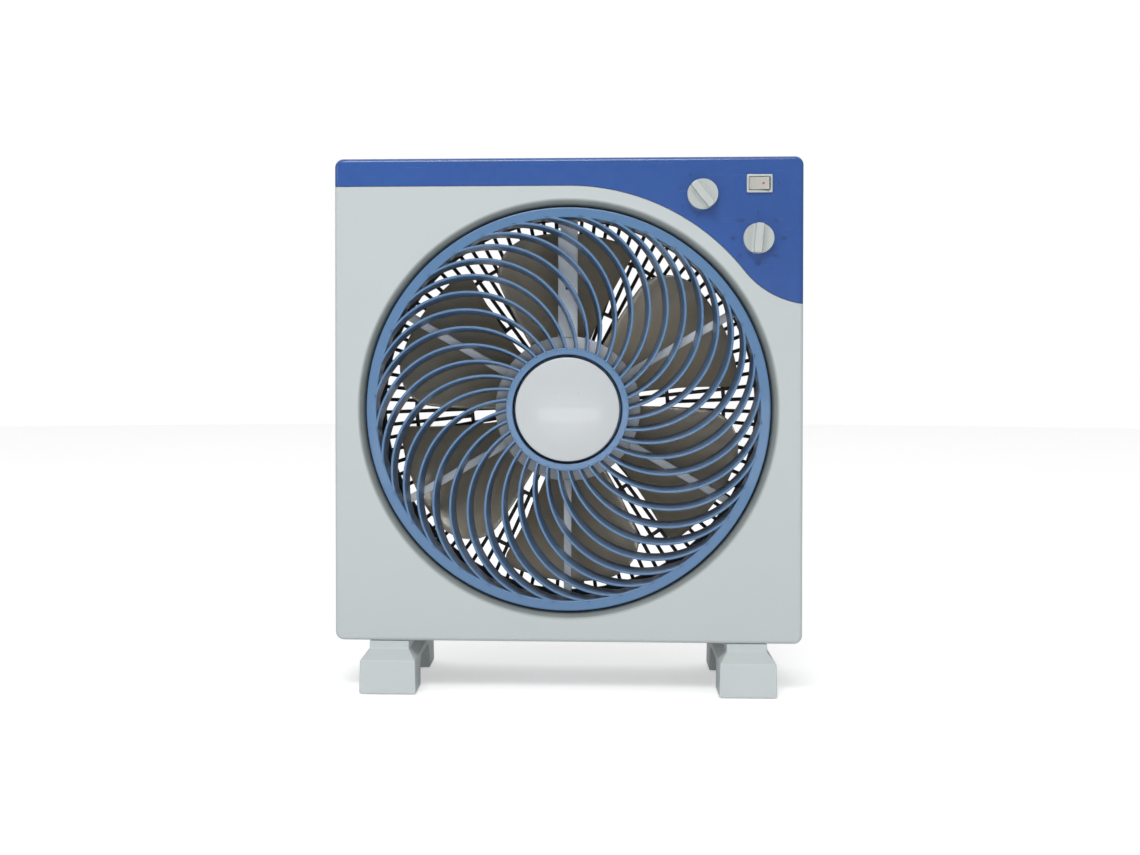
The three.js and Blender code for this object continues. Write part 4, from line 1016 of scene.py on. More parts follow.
def build_front_shell(settings):
    """White front shell: face, rounded opening, duct and side walls, cut back for the panel."""
    wall, duct, depth = settings.wall, settings.duct, settings.recess_depth
    opening = settings.recess
    duct_back = BRACKET_LOW.y - GAP
    fine = 0.25 * MM
    steps = [
        *opening_steps(opening, opening - duct, depth),
        ("circle", duct, duct_back),
        ("circle", duct + wall, duct_back),
        ("circle", duct + wall, FRONT + depth + wall),
        ("circle", opening + wall, FRONT + wall),
        ("outline", wall + 1.5 * MM, FRONT + wall),
        ("outline", wall, FRONT + wall + 1.5 * MM),
        ("outline", wall, PARTING),
        ("outline", 2 * fine, PARTING),
        ("outline", 0.0, PARTING - 2 * fine),
        *edge_steps(FRONT, 1, settings.edge),
    ]
    shell = loft("front_casing", casing_rings(steps, settings), closed=True)
    lip = PANEL_HIGH.y - FRONT
    seat = panel_prism(
        "panel_seat",
        [(FRONT - 5 * MM, 0.9 * MM), (FRONT, 0.9 * MM), (FRONT + 0.6 * MM, GAP), (FRONT + lip + GAP, GAP)],
        settings,
    )
    boolean(shell, "DIFFERENCE", seat)
    bed_inset = settings.panel_wall + GAP
    bed_steps = [
        ("outline", bed_inset, FRONT + lip + 2.5 * MM),
        *edge_steps(FRONT + bed_inset, 1, 1.5 * MM, bed_inset, steps=3),
    ]
    outer = casing_rings(bed_steps, settings)
    inner = casing_rings(
        [(kind, size + wall, y + (wall if i else 0)) for i, (kind, size, y) in enumerate(bed_steps)],
        settings,
    )
    tray = loft("panel_bed", outer[::-1] + inner)
    return shell, tray


def build_panel_bed(tray, settings):
    """The shelf of the front shell that carries the control panel."""
    lip = PANEL_HIGH.y - FRONT
    zone = panel_prism("bed_zone", [(FRONT - 5 * MM, 1.2 * MM), (FRONT + lip + 5 * MM, 1.2 * MM)], settings)
    boolean(tray, "INTERSECT", zone)
    holes = [
        cylinder("hole", 6, (FRONT - 3 * MM) / MM, (FRONT + 12 * MM) / MM, (at.x, at.z))
        for at in (SPEED, TIMER)
    ]
    holes.append(box_tool("rocker_hole", ROCKER, 10.5, 7.5, FRONT - 5 * MM, FRONT + 12 * MM))
    return boolean(tray, "DIFFERENCE", *holes)


def box_tool(name, middle, half_x, half_z, start, end):
    """A plain block cutter across a depth. The halves are in millimetres."""
    ring = [(-half_x, -half_z), (half_x, -half_z), (half_x, half_z), (-half_x, half_z)]
    rings = [[(middle.x + x * MM, y, middle.z + z * MM) for x, z in ring] for y in (start, end)]
    return loft(name, rings)


def build_rear_shell(settings):
    """White rear shell: side walls, back face, the grille's seat and the rear duct."""
    wall, duct = settings.wall, settings.rear_duct
    seat = GRILLE_HIGH.x + GAP
    ledge = GRILLE_LOW.y - GAP
    fine = 0.25 * MM
    start = PARTING + GAP
    steps = [
        ("circle", duct, REAR_DUCT_FRONT),
        ("circle", duct, ledge),
        ("circle", seat, ledge),
        ("circle", seat, BACK - 1.5 * MM),
        ("circle", seat + 1.2 * MM, BACK - 0.4 * MM),
        ("circle", seat + 2.2 * MM, BACK),
        *[step for step in reversed(edge_steps(BACK, -1, settings.edge))],
        ("outline", 0.0, start + 2 * fine),
        ("outline", 2 * fine, start),
        ("outline", wall, start),
        ("outline", wall, BACK - wall - 1.5 * MM),
        ("outline", wall + 1.5 * MM, BACK - wall),
        ("circle", seat + wall, BACK - wall),
        ("circle", seat + wall, ledge - wall),
        ("circle", duct + wall, ledge - 2 * wall),
        ("circle", duct + wall, REAR_DUCT_FRONT),
    ]
    shell = loft("rear_casing", casing_rings(steps, settings), closed=True)
    wells = []
    for i in range(1, 5):
        middle = axis_middle(f"casing_screw_{i}")
        wells.append(
            cylinder("well", 4.5, (BACK - 10 * MM) / MM, (BACK + 5 * MM) / MM, (middle.x, middle.z), 32)
        )
    gland = axis_middle("cord_gland")
    wells.append(
        cylinder("gland_hole", 8, (BACK - 10 * MM) / MM, (BACK + 5 * MM) / MM, (gland.x, gland.z), 48)
    )
    return keep_flats(boolean(shell, "DIFFERENCE", *wells))


def build_screw_wells():
    """The long round pockets that the casing screws stand in."""
    tubes = []
    for i in range(1, 5):
        low, high = axis_box(f"casing_screw_{i}")
        middle = (low + high) / 2
        start, end = (high.y + 0.2 * MM) / MM, (BACK - 0.4 * MM) / MM
        floor = start - 2.4
        profile = [(2.1, floor), (5.5, floor), (5.5, end), (4.5, end), (4.5, start), (2.1, start)]
        tubes.append(revolve("well_tube", profile, 32, radius=0.2, centre=(middle.x, middle.z)))
    return joined("casing_screw_wells", *tubes)


def build_panel(settings):
    """Blue control panel with its rounded edges, holes and wrapped lips."""
    wall = settings.panel_wall
    lip_end = PANEL_HIGH.y
    outer = [("outline", 0.0, lip_end), *edge_steps(FRONT, 1, settings.edge)]
    inner = [("outline", wall, lip_end), *edge_steps(FRONT + wall, 1, 1.0 * MM, wall, steps=2)]
    tray = loft("control_panel_moulding", casing_rings(outer, settings)[::-1] + casing_rings(inner, settings))
    zone = panel_prism(
        "panel_zone",
        [(FRONT - 1 * MM, -0.5 * MM), (FRONT, -0.5 * MM), (FRONT + 0.15 * MM, -0.15 * MM),
         (FRONT + 0.5 * MM, 0.0), (FRONT + 60 * MM, 0.0)],
        settings,
    )
    boolean(tray, "INTERSECT", zone)
    holes = [
        cylinder("hole", 4, (FRONT - 3 * MM) / MM, (FRONT + 8 * MM) / MM, (at.x, at.z))
        for at in (SPEED, TIMER)
    ]
    holes.append(box_tool("rocker_hole", ROCKER, 9.8, 6.8, FRONT - 5 * MM, FRONT + 8 * MM))
    return keep_flats(boolean(tray, "DIFFERENCE", *holes))


class FAN_OT_casing(bpy.types.Operator):
    """Build the front and rear shells, the control panel and the back's screw wells"""

    bl_idname = "fan.casing"
    bl_label = "Casing"

    def execute(self, context):
        settings = context.scene.fan_casing
        materials = MATERIALS
        shell, tray = build_front_shell(settings)
        bed = build_panel_bed(tray, settings)
        coat(keep_flats(shell), materials, "casing_white", "housing", "front_shell", look="opening_white")
        coat(keep_flats(bed), materials, "casing_white", "housing")
        coat(build_rear_shell(settings), materials, "casing_white", "housing", "rear_shell")
        coat(build_screw_wells(), materials, "casing_white", "housing")
        coat(build_panel(settings), materials, "panel_blue", "housing", "control_panel")
        return {"FINISHED"}


# ---------------------------------------------------------------------------
# Dial marks
# ---------------------------------------------------------------------------

DIALS = [
    (SPEED, 19.0, 122.0, 45.0, ["0", "1", "2", "3"]),
    (TIMER, 20.6, 90.0, -45.0, ["0", "15", "30", "45", "60", "75", "90", "120"]),
]


def numeral(text, x, z, size=4.2):
    """A thin raised numeral on the panel's face."""
    curve = bpy.data.curves.new("numeral", "FONT")
    curve.body = text
    curve.size = size * MM
    curve.extrude = 0.03 * MM
    curve.align_x = "CENTER"
    curve.align_y = "CENTER"
    curve.resolution_u = 3
    written = bpy.data.objects.new("numeral", curve)
    bpy.context.scene.collection.objects.link(written)
    bpy.context.view_layer.update()
    mesh = bpy.data.meshes.new_from_object(written)
    bpy.data.objects.remove(written)
    place = Matrix.Translation(
        AXIS + Vector((x, FRONT - 0.02 * MM, z))
    ) @ Matrix.Rotation(math.pi / 2, 4, "X")
    mesh.transform(place)
    return add_object("numeral", mesh)


class FAN_OT_dial_marks(bpy.types.Operator):
    """Print generic numbers round the two knobs and two small signs beside the rocker"""

    bl_idname = "fan.dial_marks"
    bl_label = "Dial marks"

    def execute(self, context):
        marks = []
        for at, circle, start, step, texts in DIALS:
            for i, text in enumerate(texts):
                angle = math.radians(start + i * step)
                x = at.x + circle * MM * math.cos(angle)
                z = at.z + circle * MM * math.sin(angle)
                marks.append(numeral(text, x, z))
        marks.append(numeral("1", ROCKER.x - 20 * MM, ROCKER.z, 3.6))
        marks.append(numeral("0", ROCKER.x + 16 * MM, ROCKER.z, 3.6))
        coat(joined("dial_print", *marks), MATERIALS, "panel_blue", "housing", look="dial_ink")
        return {"FINISHED"}


# ---------------------------------------------------------------------------
# Turning louvre
# ---------------------------------------------------------------------------


def vane_arc(settings):
    """The arc of a vane: radius, centre, start angle and turn, from the rings that it joins."""
    peak = settings.ring_inner + settings.overrun
    root = settings.hub_outer
    swing = settings.sweep
    centre = (peak**2 - root**2) / (2 * (peak - root * math.cos(swing)))
    bend = peak - centre
    bite = 1.6 * MM

    def angle_at(radius):
        return swing - math.acos((radius**2 - centre**2 - bend**2) / (2 * centre * bend))

    start = angle_at(root - bite)
    return bend, centre * math.cos(swing), centre * math.sin(swing), start, angle_at(
        settings.ring_inner + bite
    ) - start


class FAN_OT_louvre(bpy.types.Operator):
    """Build the turning louvre: vanes, outer ring, hub and cap"""

    bl_idname = "fan.louvre"
    bl_label = "Louvre"

    def execute(self, context):
        settings = context.scene.fan_louvre
        blue = MATERIALS["louvre_blue"]
        front, back = LOUVRE_LOW.y, LOUVRE_HIGH.y
        bend, centre_x, centre_z, start, turn = vane_arc(settings)
        vanes = run_tree(
            "louvre_vanes",
            louvre_tree(),
            {
                "Count": settings.count,
                "First": settings.first,
                "Arc Radius": bend,
                "Arc Centre X": centre_x,
                "Arc Centre Z": centre_z,
                "Start": start,
                "Turn": turn,
                "Thickness": settings.thickness,
                "Depth": back - front,
                "Middle": (front + back) / 2,
                "Slant": settings.slant,
                "Material": blue,
            },
        )
        y0, y1 = front / MM, back / MM
        inner, outer = settings.ring_inner / MM, LOUVRE_HIGH.x / MM
        ring = revolve("louvre_ring", [(inner, y0), (outer, y0), (outer, y1), (inner, y1)], 240, radius=1.0)
        hub_in, hub_out = settings.hub_inner / MM, settings.hub_outer / MM
        web = y1 - 2.6
        boss = y1 - 15
        hub_profile = [
            (3.8, boss), (8, boss), (8, web), (hub_in, web),
            (hub_in, y0), (hub_out, y0), (hub_out, y1), (3.8, y1),
        ]
        hub = revolve("louvre_hub", hub_profile, 120, radius=0.8)
        wheel = keep_flats(joined("louvre_wheel", vanes, ring, hub))
        coat(wheel, MATERIALS, "louvre_blue", "louvre_set", "louvre_grille")

        cap_low, cap_high = axis_box("louvre_cap")
        radius = settings.cap / MM
        crown, rim_end = cap_low.y / MM, cap_high.y / MM
        outside = [
            (radius * s, crown + (y0 - crown) * s**2.4) for s in (0, 0.2, 0.4, 0.6, 0.75, 0.88, 0.96, 1)
        ]
        inside = [
            ((radius - 2.4) * s, crown + 2.4 + (y0 - crown) * s**2.4) for s in (1, 0.8, 0.6, 0.4, 0.2, 0)
        ]
        profile = [*outside, (radius, rim_end), (radius - 2.4, rim_end), *inside]
        coat(
            revolve("louvre_hub_cap", profile, 120, radius=1.2, steps=4),
            MATERIALS,
            "cap_white",
            "louvre_set",
            "louvre_cap",
        )
        return {"FINISHED"}


# ---------------------------------------------------------------------------
# Bracket behind the louvre
# ---------------------------------------------------------------------------


def rounded_bar(name, start, end, width, front, back, edge=0.8):
    """A straight bar along +X from the fan axis, with rounded long edges. Sizes in millimetres."""
    half = width / 2
    section = softened(
        [Vector((-half, front)), Vector((half, front)), Vector((half, back)), Vector((-half, back))], edge, 3
    )
    rings = [[(x * MM, p.y * MM, p.x * MM) for p in section] for x in (start, end)]
    return loft(name, rings)


def channel_bar(name, start, end, width, wall, front, back):
    """The top arm: a channel open at the back, with a square eye and a notch."""
    half = width / 2
    section = softened(
        [
            Vector((-half, front)),
            Vector((half, front)),
            Vector((half, back)),
            Vector((half - wall, back)),
            Vector((half - wall, front + wall)),
            Vector((-half + wall, front + wall)),
            Vector((-half + wall, back)),
            Vector((-half, back)),
        ],
        0.7,
        3,
    )
    rings = [[(x * MM, p.y * MM, p.x * MM) for p in section] for x in (start, end)]
    bar = loft(name, rings)
    eye = box_tool("eye", Vector((102 * MM, 0, 0)), 2, 2, (front - 2) * MM, (front + wall + 2) * MM)
    notch = box_tool("notch", Vector((150 * MM, 0, half * MM)), 2.5, 2, (front - 2) * MM, (back + 2) * MM)
    return boolean(bar, "DIFFERENCE", eye, notch)


class FAN_OT_bracket(bpy.types.Operator):
    """Build the six-armed bracket behind the louvre"""

    bl_idname = "fan.bracket"
    bl_label = "Bracket"

    def execute(self, context):
        settings = context.scene.fan_blower
        grey = MATERIALS["bracket_grey"]
        copies = bpy.data.node_groups.get("Turned Copies") or turned_copies_tree()
        front, back = BRACKET_LOW.y / MM, BRACKET_HIGH.y / MM
        hub = settings.bracket_hub / MM
        end, pad_circle = 173, 178
        arm = rounded_bar("arm", hub - 1.5, end, settings.arm_width / MM, front, back)
        arms = run_tree("arms", copies, {"Count": 6, "First": math.radians(30), "Material": grey}, arm)
        arms = keep_arms(arms, settings)
        top = channel_bar("top_arm", hub - 1.5, end, settings.channel_width / MM, 2, front, back)
        top = run_tree("top_arm", copies, {"Count": 1, "First": math.pi / 2, "Material": grey}, top)
        pad = revolve(
            "pad",
            [(1.8, front), (6.5, front), (6.5, front + 4), (1.8, front + 4)],
            32,
            centre=(pad_circle * MM, 0),
        )
        pads = run_tree("pads", copies, {"Count": 6, "First": math.radians(30), "Material": grey}, pad)
        pads = keep_arms(pads, settings)
        disc_profile = [
            (5.5, front), (hub, front), (hub, back), (hub - 2.5, back), (
                hub - 2.5, front + 3
            ), (5.5, front + 3),
        ]
        disc = revolve("disc", disc_profile, 120, radius=0.8)
        piece = joined("front_bracket_moulding", disc, arms, top, pads)
        coat(piece, MATERIALS, "bracket_grey", "housing", "front_bracket")
        return {"FINISHED"}


def keep_arms(arms, settings):
    """Removes the copy that stands where the wide top arm goes."""
    built = bmesh.new()
    built.from_mesh(arms.data)
    half = settings.channel_width / 2
    lost = [v for v in built.verts if v.co.z - AXIS.z > settings.bracket_hub - 2 * MM and abs(v.co.x) < half]
    bmesh.ops.delete(built, geom=lost, context="VERTS")
    built.to_mesh(arms.data)
    built.free()
    return arms


# ---------------------------------------------------------------------------
# Impeller and motor
# ---------------------------------------------------------------------------


def round_off(share, start):
    """Quarter-round ease: 0 until start, 1 at the end."""
    if share <= start:
        return 0.0
    return 1 - math.sqrt(max(1 - ((share - start) / (1 - start)) ** 2, 0.0))


def mix(first, second, share):
    return first + (second - first) * share


def blade_point(across, span, side, settings):
    """A point on one face of the blade. across and span run from 0 to 1, side is 1 or -1."""
    middle = -0.5 * MM
    root = settings.hub - 1.25 * MM
    radius = mix(root, settings.tip - 0.2 * MM, span)
    low = mix(0, -7, span) + 5 * round_off(span, 0.9)
    high = 48 - 4 * span**2 - 15 * round_off(span, 0.72)
    angle = math.radians(mix(low, high, across))
    depth = mix(24, 37, span) * MM
    bow = 4 * MM * 4 * across * (1 - across)
    round_chord = math.sqrt(max(1 - abs(2 * across - 1) ** 14, 0.0))
    round_tip = math.sqrt(max(1 - span**60, 0.0))
    half_wall = settings.blade_wall / 2 * min(round_chord, round_tip if span > 0.5 else 1.0)
    y = middle + depth * (0.5 - across) - bow + side * half_wall
    return (radius * math.cos(angle), y, radius * math.sin(angle))


def build_blade(settings, chord_steps=26, span_steps=34):
    """One smooth pitched blade, its edges rounded to nothing."""
    built = bmesh.new()
    chord = [0.5 - 0.5 * math.cos(math.pi * i / chord_steps) for i in range(chord_steps + 1)]
    spans = [math.sin(math.pi / 2 * j / span_steps) for j in range(span_steps + 1)]
    grids = []
    for side in (-1, 1):
        grid = [
            [built.verts.new(Vector(blade_point(u, w, side, settings)) + AXIS) for u in chord]
            for w in spans
        ]
        for j in range(span_steps):
            for i in range(chord_steps):
                built.faces.new((grid[j][i], grid[j][i + 1], grid[j + 1][i + 1], grid[j + 1][i]))
        grids.append(grid)
    front, back = grids
    for i in range(chord_steps):
        built.faces.new((front[0][i], front[0][i + 1], back[0][i + 1], back[0][i]))
    return finish_mesh("blade", built, 60.0)


class FAN_OT_impeller(bpy.types.Operator):
    """Build the six-bladed impeller and the nut that holds it"""

    bl_idname = "fan.impeller"
    bl_label = "Impeller"

    def execute(self, context):
        settings = context.scene.fan_blower
        smoke = MATERIALS["blade_smoke"]
        copies = bpy.data.node_groups.get("Turned Copies") or turned_copies_tree()
        blades = run_tree(
            "blades",
            copies,
            {"Count": settings.blades, "First": settings.first_blade, "Material": smoke},
            build_blade(settings),
        )
        hub = settings.hub / MM
        profile = [
            (4.3, -14), (hub - 8, -14), (hub, -8), (hub, 13), (hub - 2.5, 13),
            (hub - 2.5, -7), (hub - 9, -11), (9.3, -11), (9.3, 9), (4.3, 9),
        ]
        cup = revolve("cup", profile, 96, radius=1.5, steps=4)
        coat(joined("impeller_moulding", blades, cup), MATERIALS, "blade_smoke", "impeller_set", "impeller")
        low, high = axis_box("spinner_nut")
        front, back = low.y / MM, high.y / MM
        nut = [
            (0, front),
            (8.4, front + 1),
            (14, back - 1.5),
            (14, back),
            (4.3, back),
            (4.3, -16.8),
            (0, -16.8),
        ]
        coat(
            revolve("spinner", nut, 64, radius=1.2),
            MATERIALS,
            "grille_black",
            "impeller_set",
            "spinner_nut",
        )
        return {"FINISHED"}


def bell_profile(out_y, rim_y):
    """A motor end bell's section, closed at out_y and open at rim_y."""
    way = math.copysign(1, rim_y - out_y)
    return [
        (8.3, out_y), (30, out_y), (
            41.5, out_y + way * 4.5
        ), (41.5, rim_y), (39.5, rim_y), (39.5, out_y + way * 6),
        (28.5, out_y + way * 2.5), (11, out_y + way * 2.5), (11, out_y + way * 8.5), (8.3, out_y + way * 8.5),
    ]


class FAN_OT_motor(bpy.types.Operator):
    """Build the motor's visible castings, its stack, its windings and its shaft"""

    bl_idname = "fan.motor"
    bl_label = "Motor"

    def execute(self, context):
        for node, name in (("motor_front_bell", "front_end_bell"), ("motor_rear_bell", "rear_end_bell")):
            low, high = axis_box(node)
            ends = (low.y / MM, high.y / MM) if "front" in node else (high.y / MM, low.y / MM)
            bell = revolve(name, bell_profile(*ends), 96, radius=1.5, steps=4)
            coat(bell, MATERIALS, "motor_metal", "housing", node)
        low, high = axis_box("motor_stator")
        stack = [(22, low.y / MM), (41.5, low.y / MM), (41.5, high.y / MM), (22, high.y / MM)]
        coat(
            revolve("stator_stack", stack, 96, radius=0.4),
            MATERIALS,
            "lamination",
            "housing",
            "motor_stator",
        )
        for node in ("motor_coil_front", "motor_coil_rear"):
            low, high = axis_box(node)
            coil = [(24, low.y / MM), (37, low.y / MM), (37, high.y / MM), (24, high.y / MM)]
            coat(
                revolve(f"{node}_winding", coil, 72, radius=2.2, steps=5),
                MATERIALS,
                "copper",
                "housing",
                node,
            )
        low, high = axis_box("motor_shaft")
        shaft = [(0, low.y / MM), (4, low.y / MM), (4, high.y / MM), (0, high.y / MM)]
        coat(
            revolve("ground_shaft", shaft, 48, radius=0.6),
            MATERIALS,
            "steel",
            "impeller_set",
            "motor_shaft",
        )
        return {"FINISHED"}


# ---------------------------------------------------------------------------
# Rear grille and fasteners
# ---------------------------------------------------------------------------


class FAN_OT_rear_grille(bpy.types.Operator):
    """Build the round rear grille: bars, rings, rim and the slotted motor plate"""

    bl_idname = "fan.rear_grille"
    bl_label = "Rear grille"

    def execute(self, context):
        settings = context.scene.fan_blower
        black = MATERIALS["grille_black"]
        front, back = GRILLE_LOW.y, GRILLE_HIGH.y
        middle, depth = (front + back) / 2, back - front
        bars, rings = guard_tree(), ring_tree()
        parts = []
        half = settings.spokes // 2
        pitch = 2 * math.pi / settings.spokes
        for inner, start in ((47 * MM, settings.first_bar), (88 * MM, settings.first_bar + pitch)):
            values = {"Count": half, "First": start, "Inner": inner, "Outer": 167 * MM, "Width": settings.bar,
                      "Depth": depth, "Middle": middle, "Material": black}
            parts.append(run_tree("bars", bars, values))
        for radius in (88 * MM, 138 * MM):
            values = {
                "Radius": radius, "Width": settings.bar, "Depth": depth, "Middle": middle, "Material": black
            }
            parts.append(run_tree("ring", rings, values))
        y0, y1 = front / MM, back / MM
        rim = revolve("rim", [(165.6, y0), (176, y0), (176, y1), (165.6, y1)], 240, radius=0.9)
        plate = revolve("plate", [(0, y0), (48, y0), (48, y1), (0, y1)], 120, radius=0.8)
        slots = []
        for i in range(12):
            slots.append(slot_tool(math.radians((i + 0.5) * 30), 35, 44, 4.5, y0 - 2, y1 + 2))
        holes = []
        for i in range(1, 5):
            at = axis_middle(f"motor_screw_{i}")
            holes.append(cylinder("hole", 1.8, y0 - 2, y1 + 2, (at.x, at.z), 24))
        keep_flats(boolean(plate, "DIFFERENCE", joined("cutters", *slots, *holes)))
        coat(joined("rear_guard", rim, plate, *parts), MATERIALS, "grille_black", "housing", "rear_grille")
        return {"FINISHED"}


def slot_tool(angle, inner, outer, width, start, end):
    """A rounded radial slot cutter, in millimetres."""
    half = width / 2
    section = softened(
        [
            Vector((inner, -half)), Vector((outer, -half)), Vector((outer, half)), Vector((inner, half))
        ], half, 5
    )
    turn = Matrix.Rotation(angle, 2)
    flat = [turn @ point for point in section]
    return loft("slot", [[(p.x * MM, y * MM, p.y * MM) for p in flat] for y in (start, end)])


def pan_head(name, head, height, shank, reach):
    """A pan-head screw at the origin, its head towards +Y, with a cross recess. In millimetres."""
    profile = [
        (0, -reach), (shank, -reach), (shank, 0), (head, 0),
        (head, height * 0.45), (head * 0.72, height), (0, height),
    ]
    made = revolve(name, profile, 32, radius=0.35, steps=2)
    made.data.transform(Matrix.Translation(-AXIS))
    arms = []
    for turn in (0, math.pi / 2):
        arm = box_tool(
            "cross", Vector((0, 0, 0)), head * 0.55, head * 0.13, height * 0.35 * MM, (height + 1) * MM
        )
        arm.data.transform(Matrix.Translation(-AXIS))
        arm.data.transform(Matrix.Rotation(turn, 4, "Y"))
        arms.append(arm)
    return keep_flats(boolean(made, "DIFFERENCE", *arms))


def set_screws(name, nodes, head, height, shank):
    """One piece that holds a pan-head screw at each CAD screw's place."""
    boxes = [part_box(node) for node in nodes]
    low, high = boxes[0]
    reach = (high.y - low.y) / MM - height
    fastener = pan_head("fastener", head, height, shank, reach)
    built = bmesh.new()
    for low, high in boxes:
        built.verts.new(((low.x + high.x) / 2, high.y - height * MM, (low.z + high.z) / 2))
    places = bpy.data.meshes.new(name)
    built.to_mesh(places)
    built.free()
    tree = bpy.data.node_groups.get("Placed Copies") or placed_copies_tree()
    values = {"Fastener": fastener, "Material": MATERIALS["zinc"]}
    screws = run_tree(name, tree, values, add_object(name, places))
    bpy.data.objects.remove(fastener)
    return coat(screws, MATERIALS, "zinc", "housing", *nodes)


class FAN_OT_fasteners(bpy.types.Operator):
    """Put a pan-head screw at every screw's place"""

    bl_idname = "fan.fasteners"
    bl_label = "Fasteners"

    def execute(self, context):
        sets = [("grille", 4, 3.2, 1.5), ("motor", 4, 3.2, 1.5), ("casing", 4, 4, 1.8), ("bracket", 5, 3.2, 1.5)]
        for kind, count, head, shank in sets:
            nodes = [f"{kind}_screw_{i}" for i in range(1, count + 1)]
            set_screws(f"{kind}_screws", nodes, head, 1.8, shank)
        nodes = ["louvre_motor_screw_right", "louvre_motor_screw_left"]
        set_screws("louvre_motor_screws", nodes, 3.2, 1.8, 1.5)
        return {"FINISHED"}


# ---------------------------------------------------------------------------
# Controls
# ---------------------------------------------------------------------------


def build_knob(name, at, pointer, front, back):
    """A round knob with a finger bar between two hollowed flats."""
    radius, base, half_bar = 12.5, 4.5, 2.7
    profile = [(0, front), (radius - 0.2, front), (radius, back - 1.5), (radius, back), (0, back)]
    knob = revolve(name, profile, 96, radius=1.1, steps=4, centre=(at.x, at.z))
    tools = []
    for way in (1, -1):
        section = softened(
            [
                Vector((half_bar, front - 6)),
                Vector((half_bar + 0.5, back - base)),
                Vector((radius + 6, back - base - 5.2)),
                Vector((radius + 6, front - 6)),
            ],
            2.2,
            5,
        )
        rings = [[(x * MM, p.y * MM, way * p.x * MM) for p in section] for x in (-3 * radius, 3 * radius)]
        tool = loft("scoop", rings, offset=Vector((0, 0, 0)))
        tool.data.transform(Matrix.Rotation(-pointer, 4, "Y"))
        tool.data.transform(Matrix.Translation(AXIS + Vector((at.x, 0, at.z))))
        tools.append(tool)
    boolean(knob, "DIFFERENCE", *tools)
    return bevelled(knob, 0.35, 2, 32)


def rectangle(half_x, half_z, corner, steps=4):
    points = [
        Vector((-half_x, -half_z)),
        Vector((half_x, -half_z)),
        Vector((half_x, half_z)),
        Vector((-half_x, half_z)),
    ]
    return softened(points, corner, steps)


def build_rocker_body():
    """Rocker housing: bezel with a rounded rim, pocket, body and three terminals."""
    front = axis_box("rocker_body")[0].y / MM
    face = FRONT / MM - 0.3
    half_x, half_z = 10.5, 7.5
    pocket = front + 7.5
    levels = [
        (half_x - 1, half_z - 1, 0.6, FRONT / MM + 20),
        (half_x - 1, half_z - 1, 0.6, face),
        (half_x, half_z, 1.0, face),
        (half_x, half_z, 1.0, front + 0.7),
        (half_x - 0.2, half_z - 0.2, 0.9, front + 0.2),
        (half_x - 0.7, half_z - 0.7, 0.8, front),
        (half_x - 1.4, half_z - 1.4, 0.6, front),
        (half_x - 1.8, half_z - 1.8, 0.5, front + 0.3),
        (half_x - 1.9, half_z - 1.9, 0.4, front + 0.8),
        (half_x - 1.9, half_z - 1.9, 0.4, pocket),
    ]
    rings = []
    for half_w, half_h, corner, y in levels:
        outline = rectangle(half_w, half_h, corner)
        rings.append([(ROCKER.x + p.x * MM, y * MM, ROCKER.z + p.y * MM) for p in outline])
    body = loft("rocker_housing", rings)
    blades = []
    for offset in (-6, 0, 6):
        at = Vector((ROCKER.x + offset * MM, 0, ROCKER.z))
        blades.append(box_tool("terminal", at, 0.4, 2.4, FRONT + 19 * MM, FRONT + 27 * MM))
    return joined("rocker_housing", body, *blades)


def build_paddle():
    """The rocker's paddle with its hollowed face, tipped with the left end in."""
    half, rise, sink, height = 8.1, 2.6, 2.4, 5.1
    face = [
        Vector((mix(-half, half, i / 12), -rise - 1.1 + 1.35 * (1 - (2 * i / 12 - 1) ** 2)))
        for i in range(13)
    ]
    base = [
        Vector((half, sink * 0.4)),
        Vector((half / 2, sink)),
        Vector((-half / 2, sink)),
        Vector((-half, sink * 0.4)),
    ]
    section = [*face, *base]
    rings = [[(p.x * MM, p.y * MM, z * MM) for p in section] for z in (-height, height)]
    paddle = loft("rocker_key", rings, offset=Vector((0, 0, 0)))
    paddle.data.transform(Matrix.Rotation(math.radians(-8), 4, "Z"))
    paddle.data.transform(Matrix.Translation(AXIS + ROCKER))
    return bevelled(paddle, 0.4, 3, 40)


def build_paddle_dot():
    """The small red dot let into the paddle's right end."""
    dot = revolve("dot", [(0, -0.12), (0.9, -0.12), (0.9, 0.6), (0, 0.6)], 24, radius=0.1)
    dot.data.transform(Matrix.Translation(-AXIS))
    dot.data.transform(Matrix.Translation((3.4 * MM, -2.6 * MM, 0)))
    dot.data.transform(Matrix.Rotation(math.radians(-8), 4, "Z"))
    dot.data.transform(Matrix.Translation(AXIS + ROCKER))
    return dot


class FAN_OT_controls(bpy.types.Operator):
    """Build the two knobs and the rocker switch"""

    bl_idname = "fan.controls"
    bl_label = "Controls"

    def execute(self, context):
        for name, node, at, pointer in (
            ("speed", "speed_knob", SPEED, 128), ("timer", "timer_knob", TIMER, 85)
        ):
            low, high = axis_box(node)
            knob = build_knob(f"{name}_dial_knob", at, math.radians(pointer), low.y / MM, high.y / MM)
            coat(knob, MATERIALS, "knob_white", f"{name}_knob_set", node)
        coat(build_rocker_body(), MATERIALS, "knob_white", "housing", "rocker_body")
        coat(build_paddle(), MATERIALS, "knob_white", "paddle_set", "rocker_paddle", look="paddle_cream")
        coat(build_paddle_dot(), MATERIALS, "knob_white", "paddle_set", look="signal_red")
        return {"FINISHED"}


# ---------------------------------------------------------------------------
# Feet, gland and inner pieces
# ---------------------------------------------------------------------------


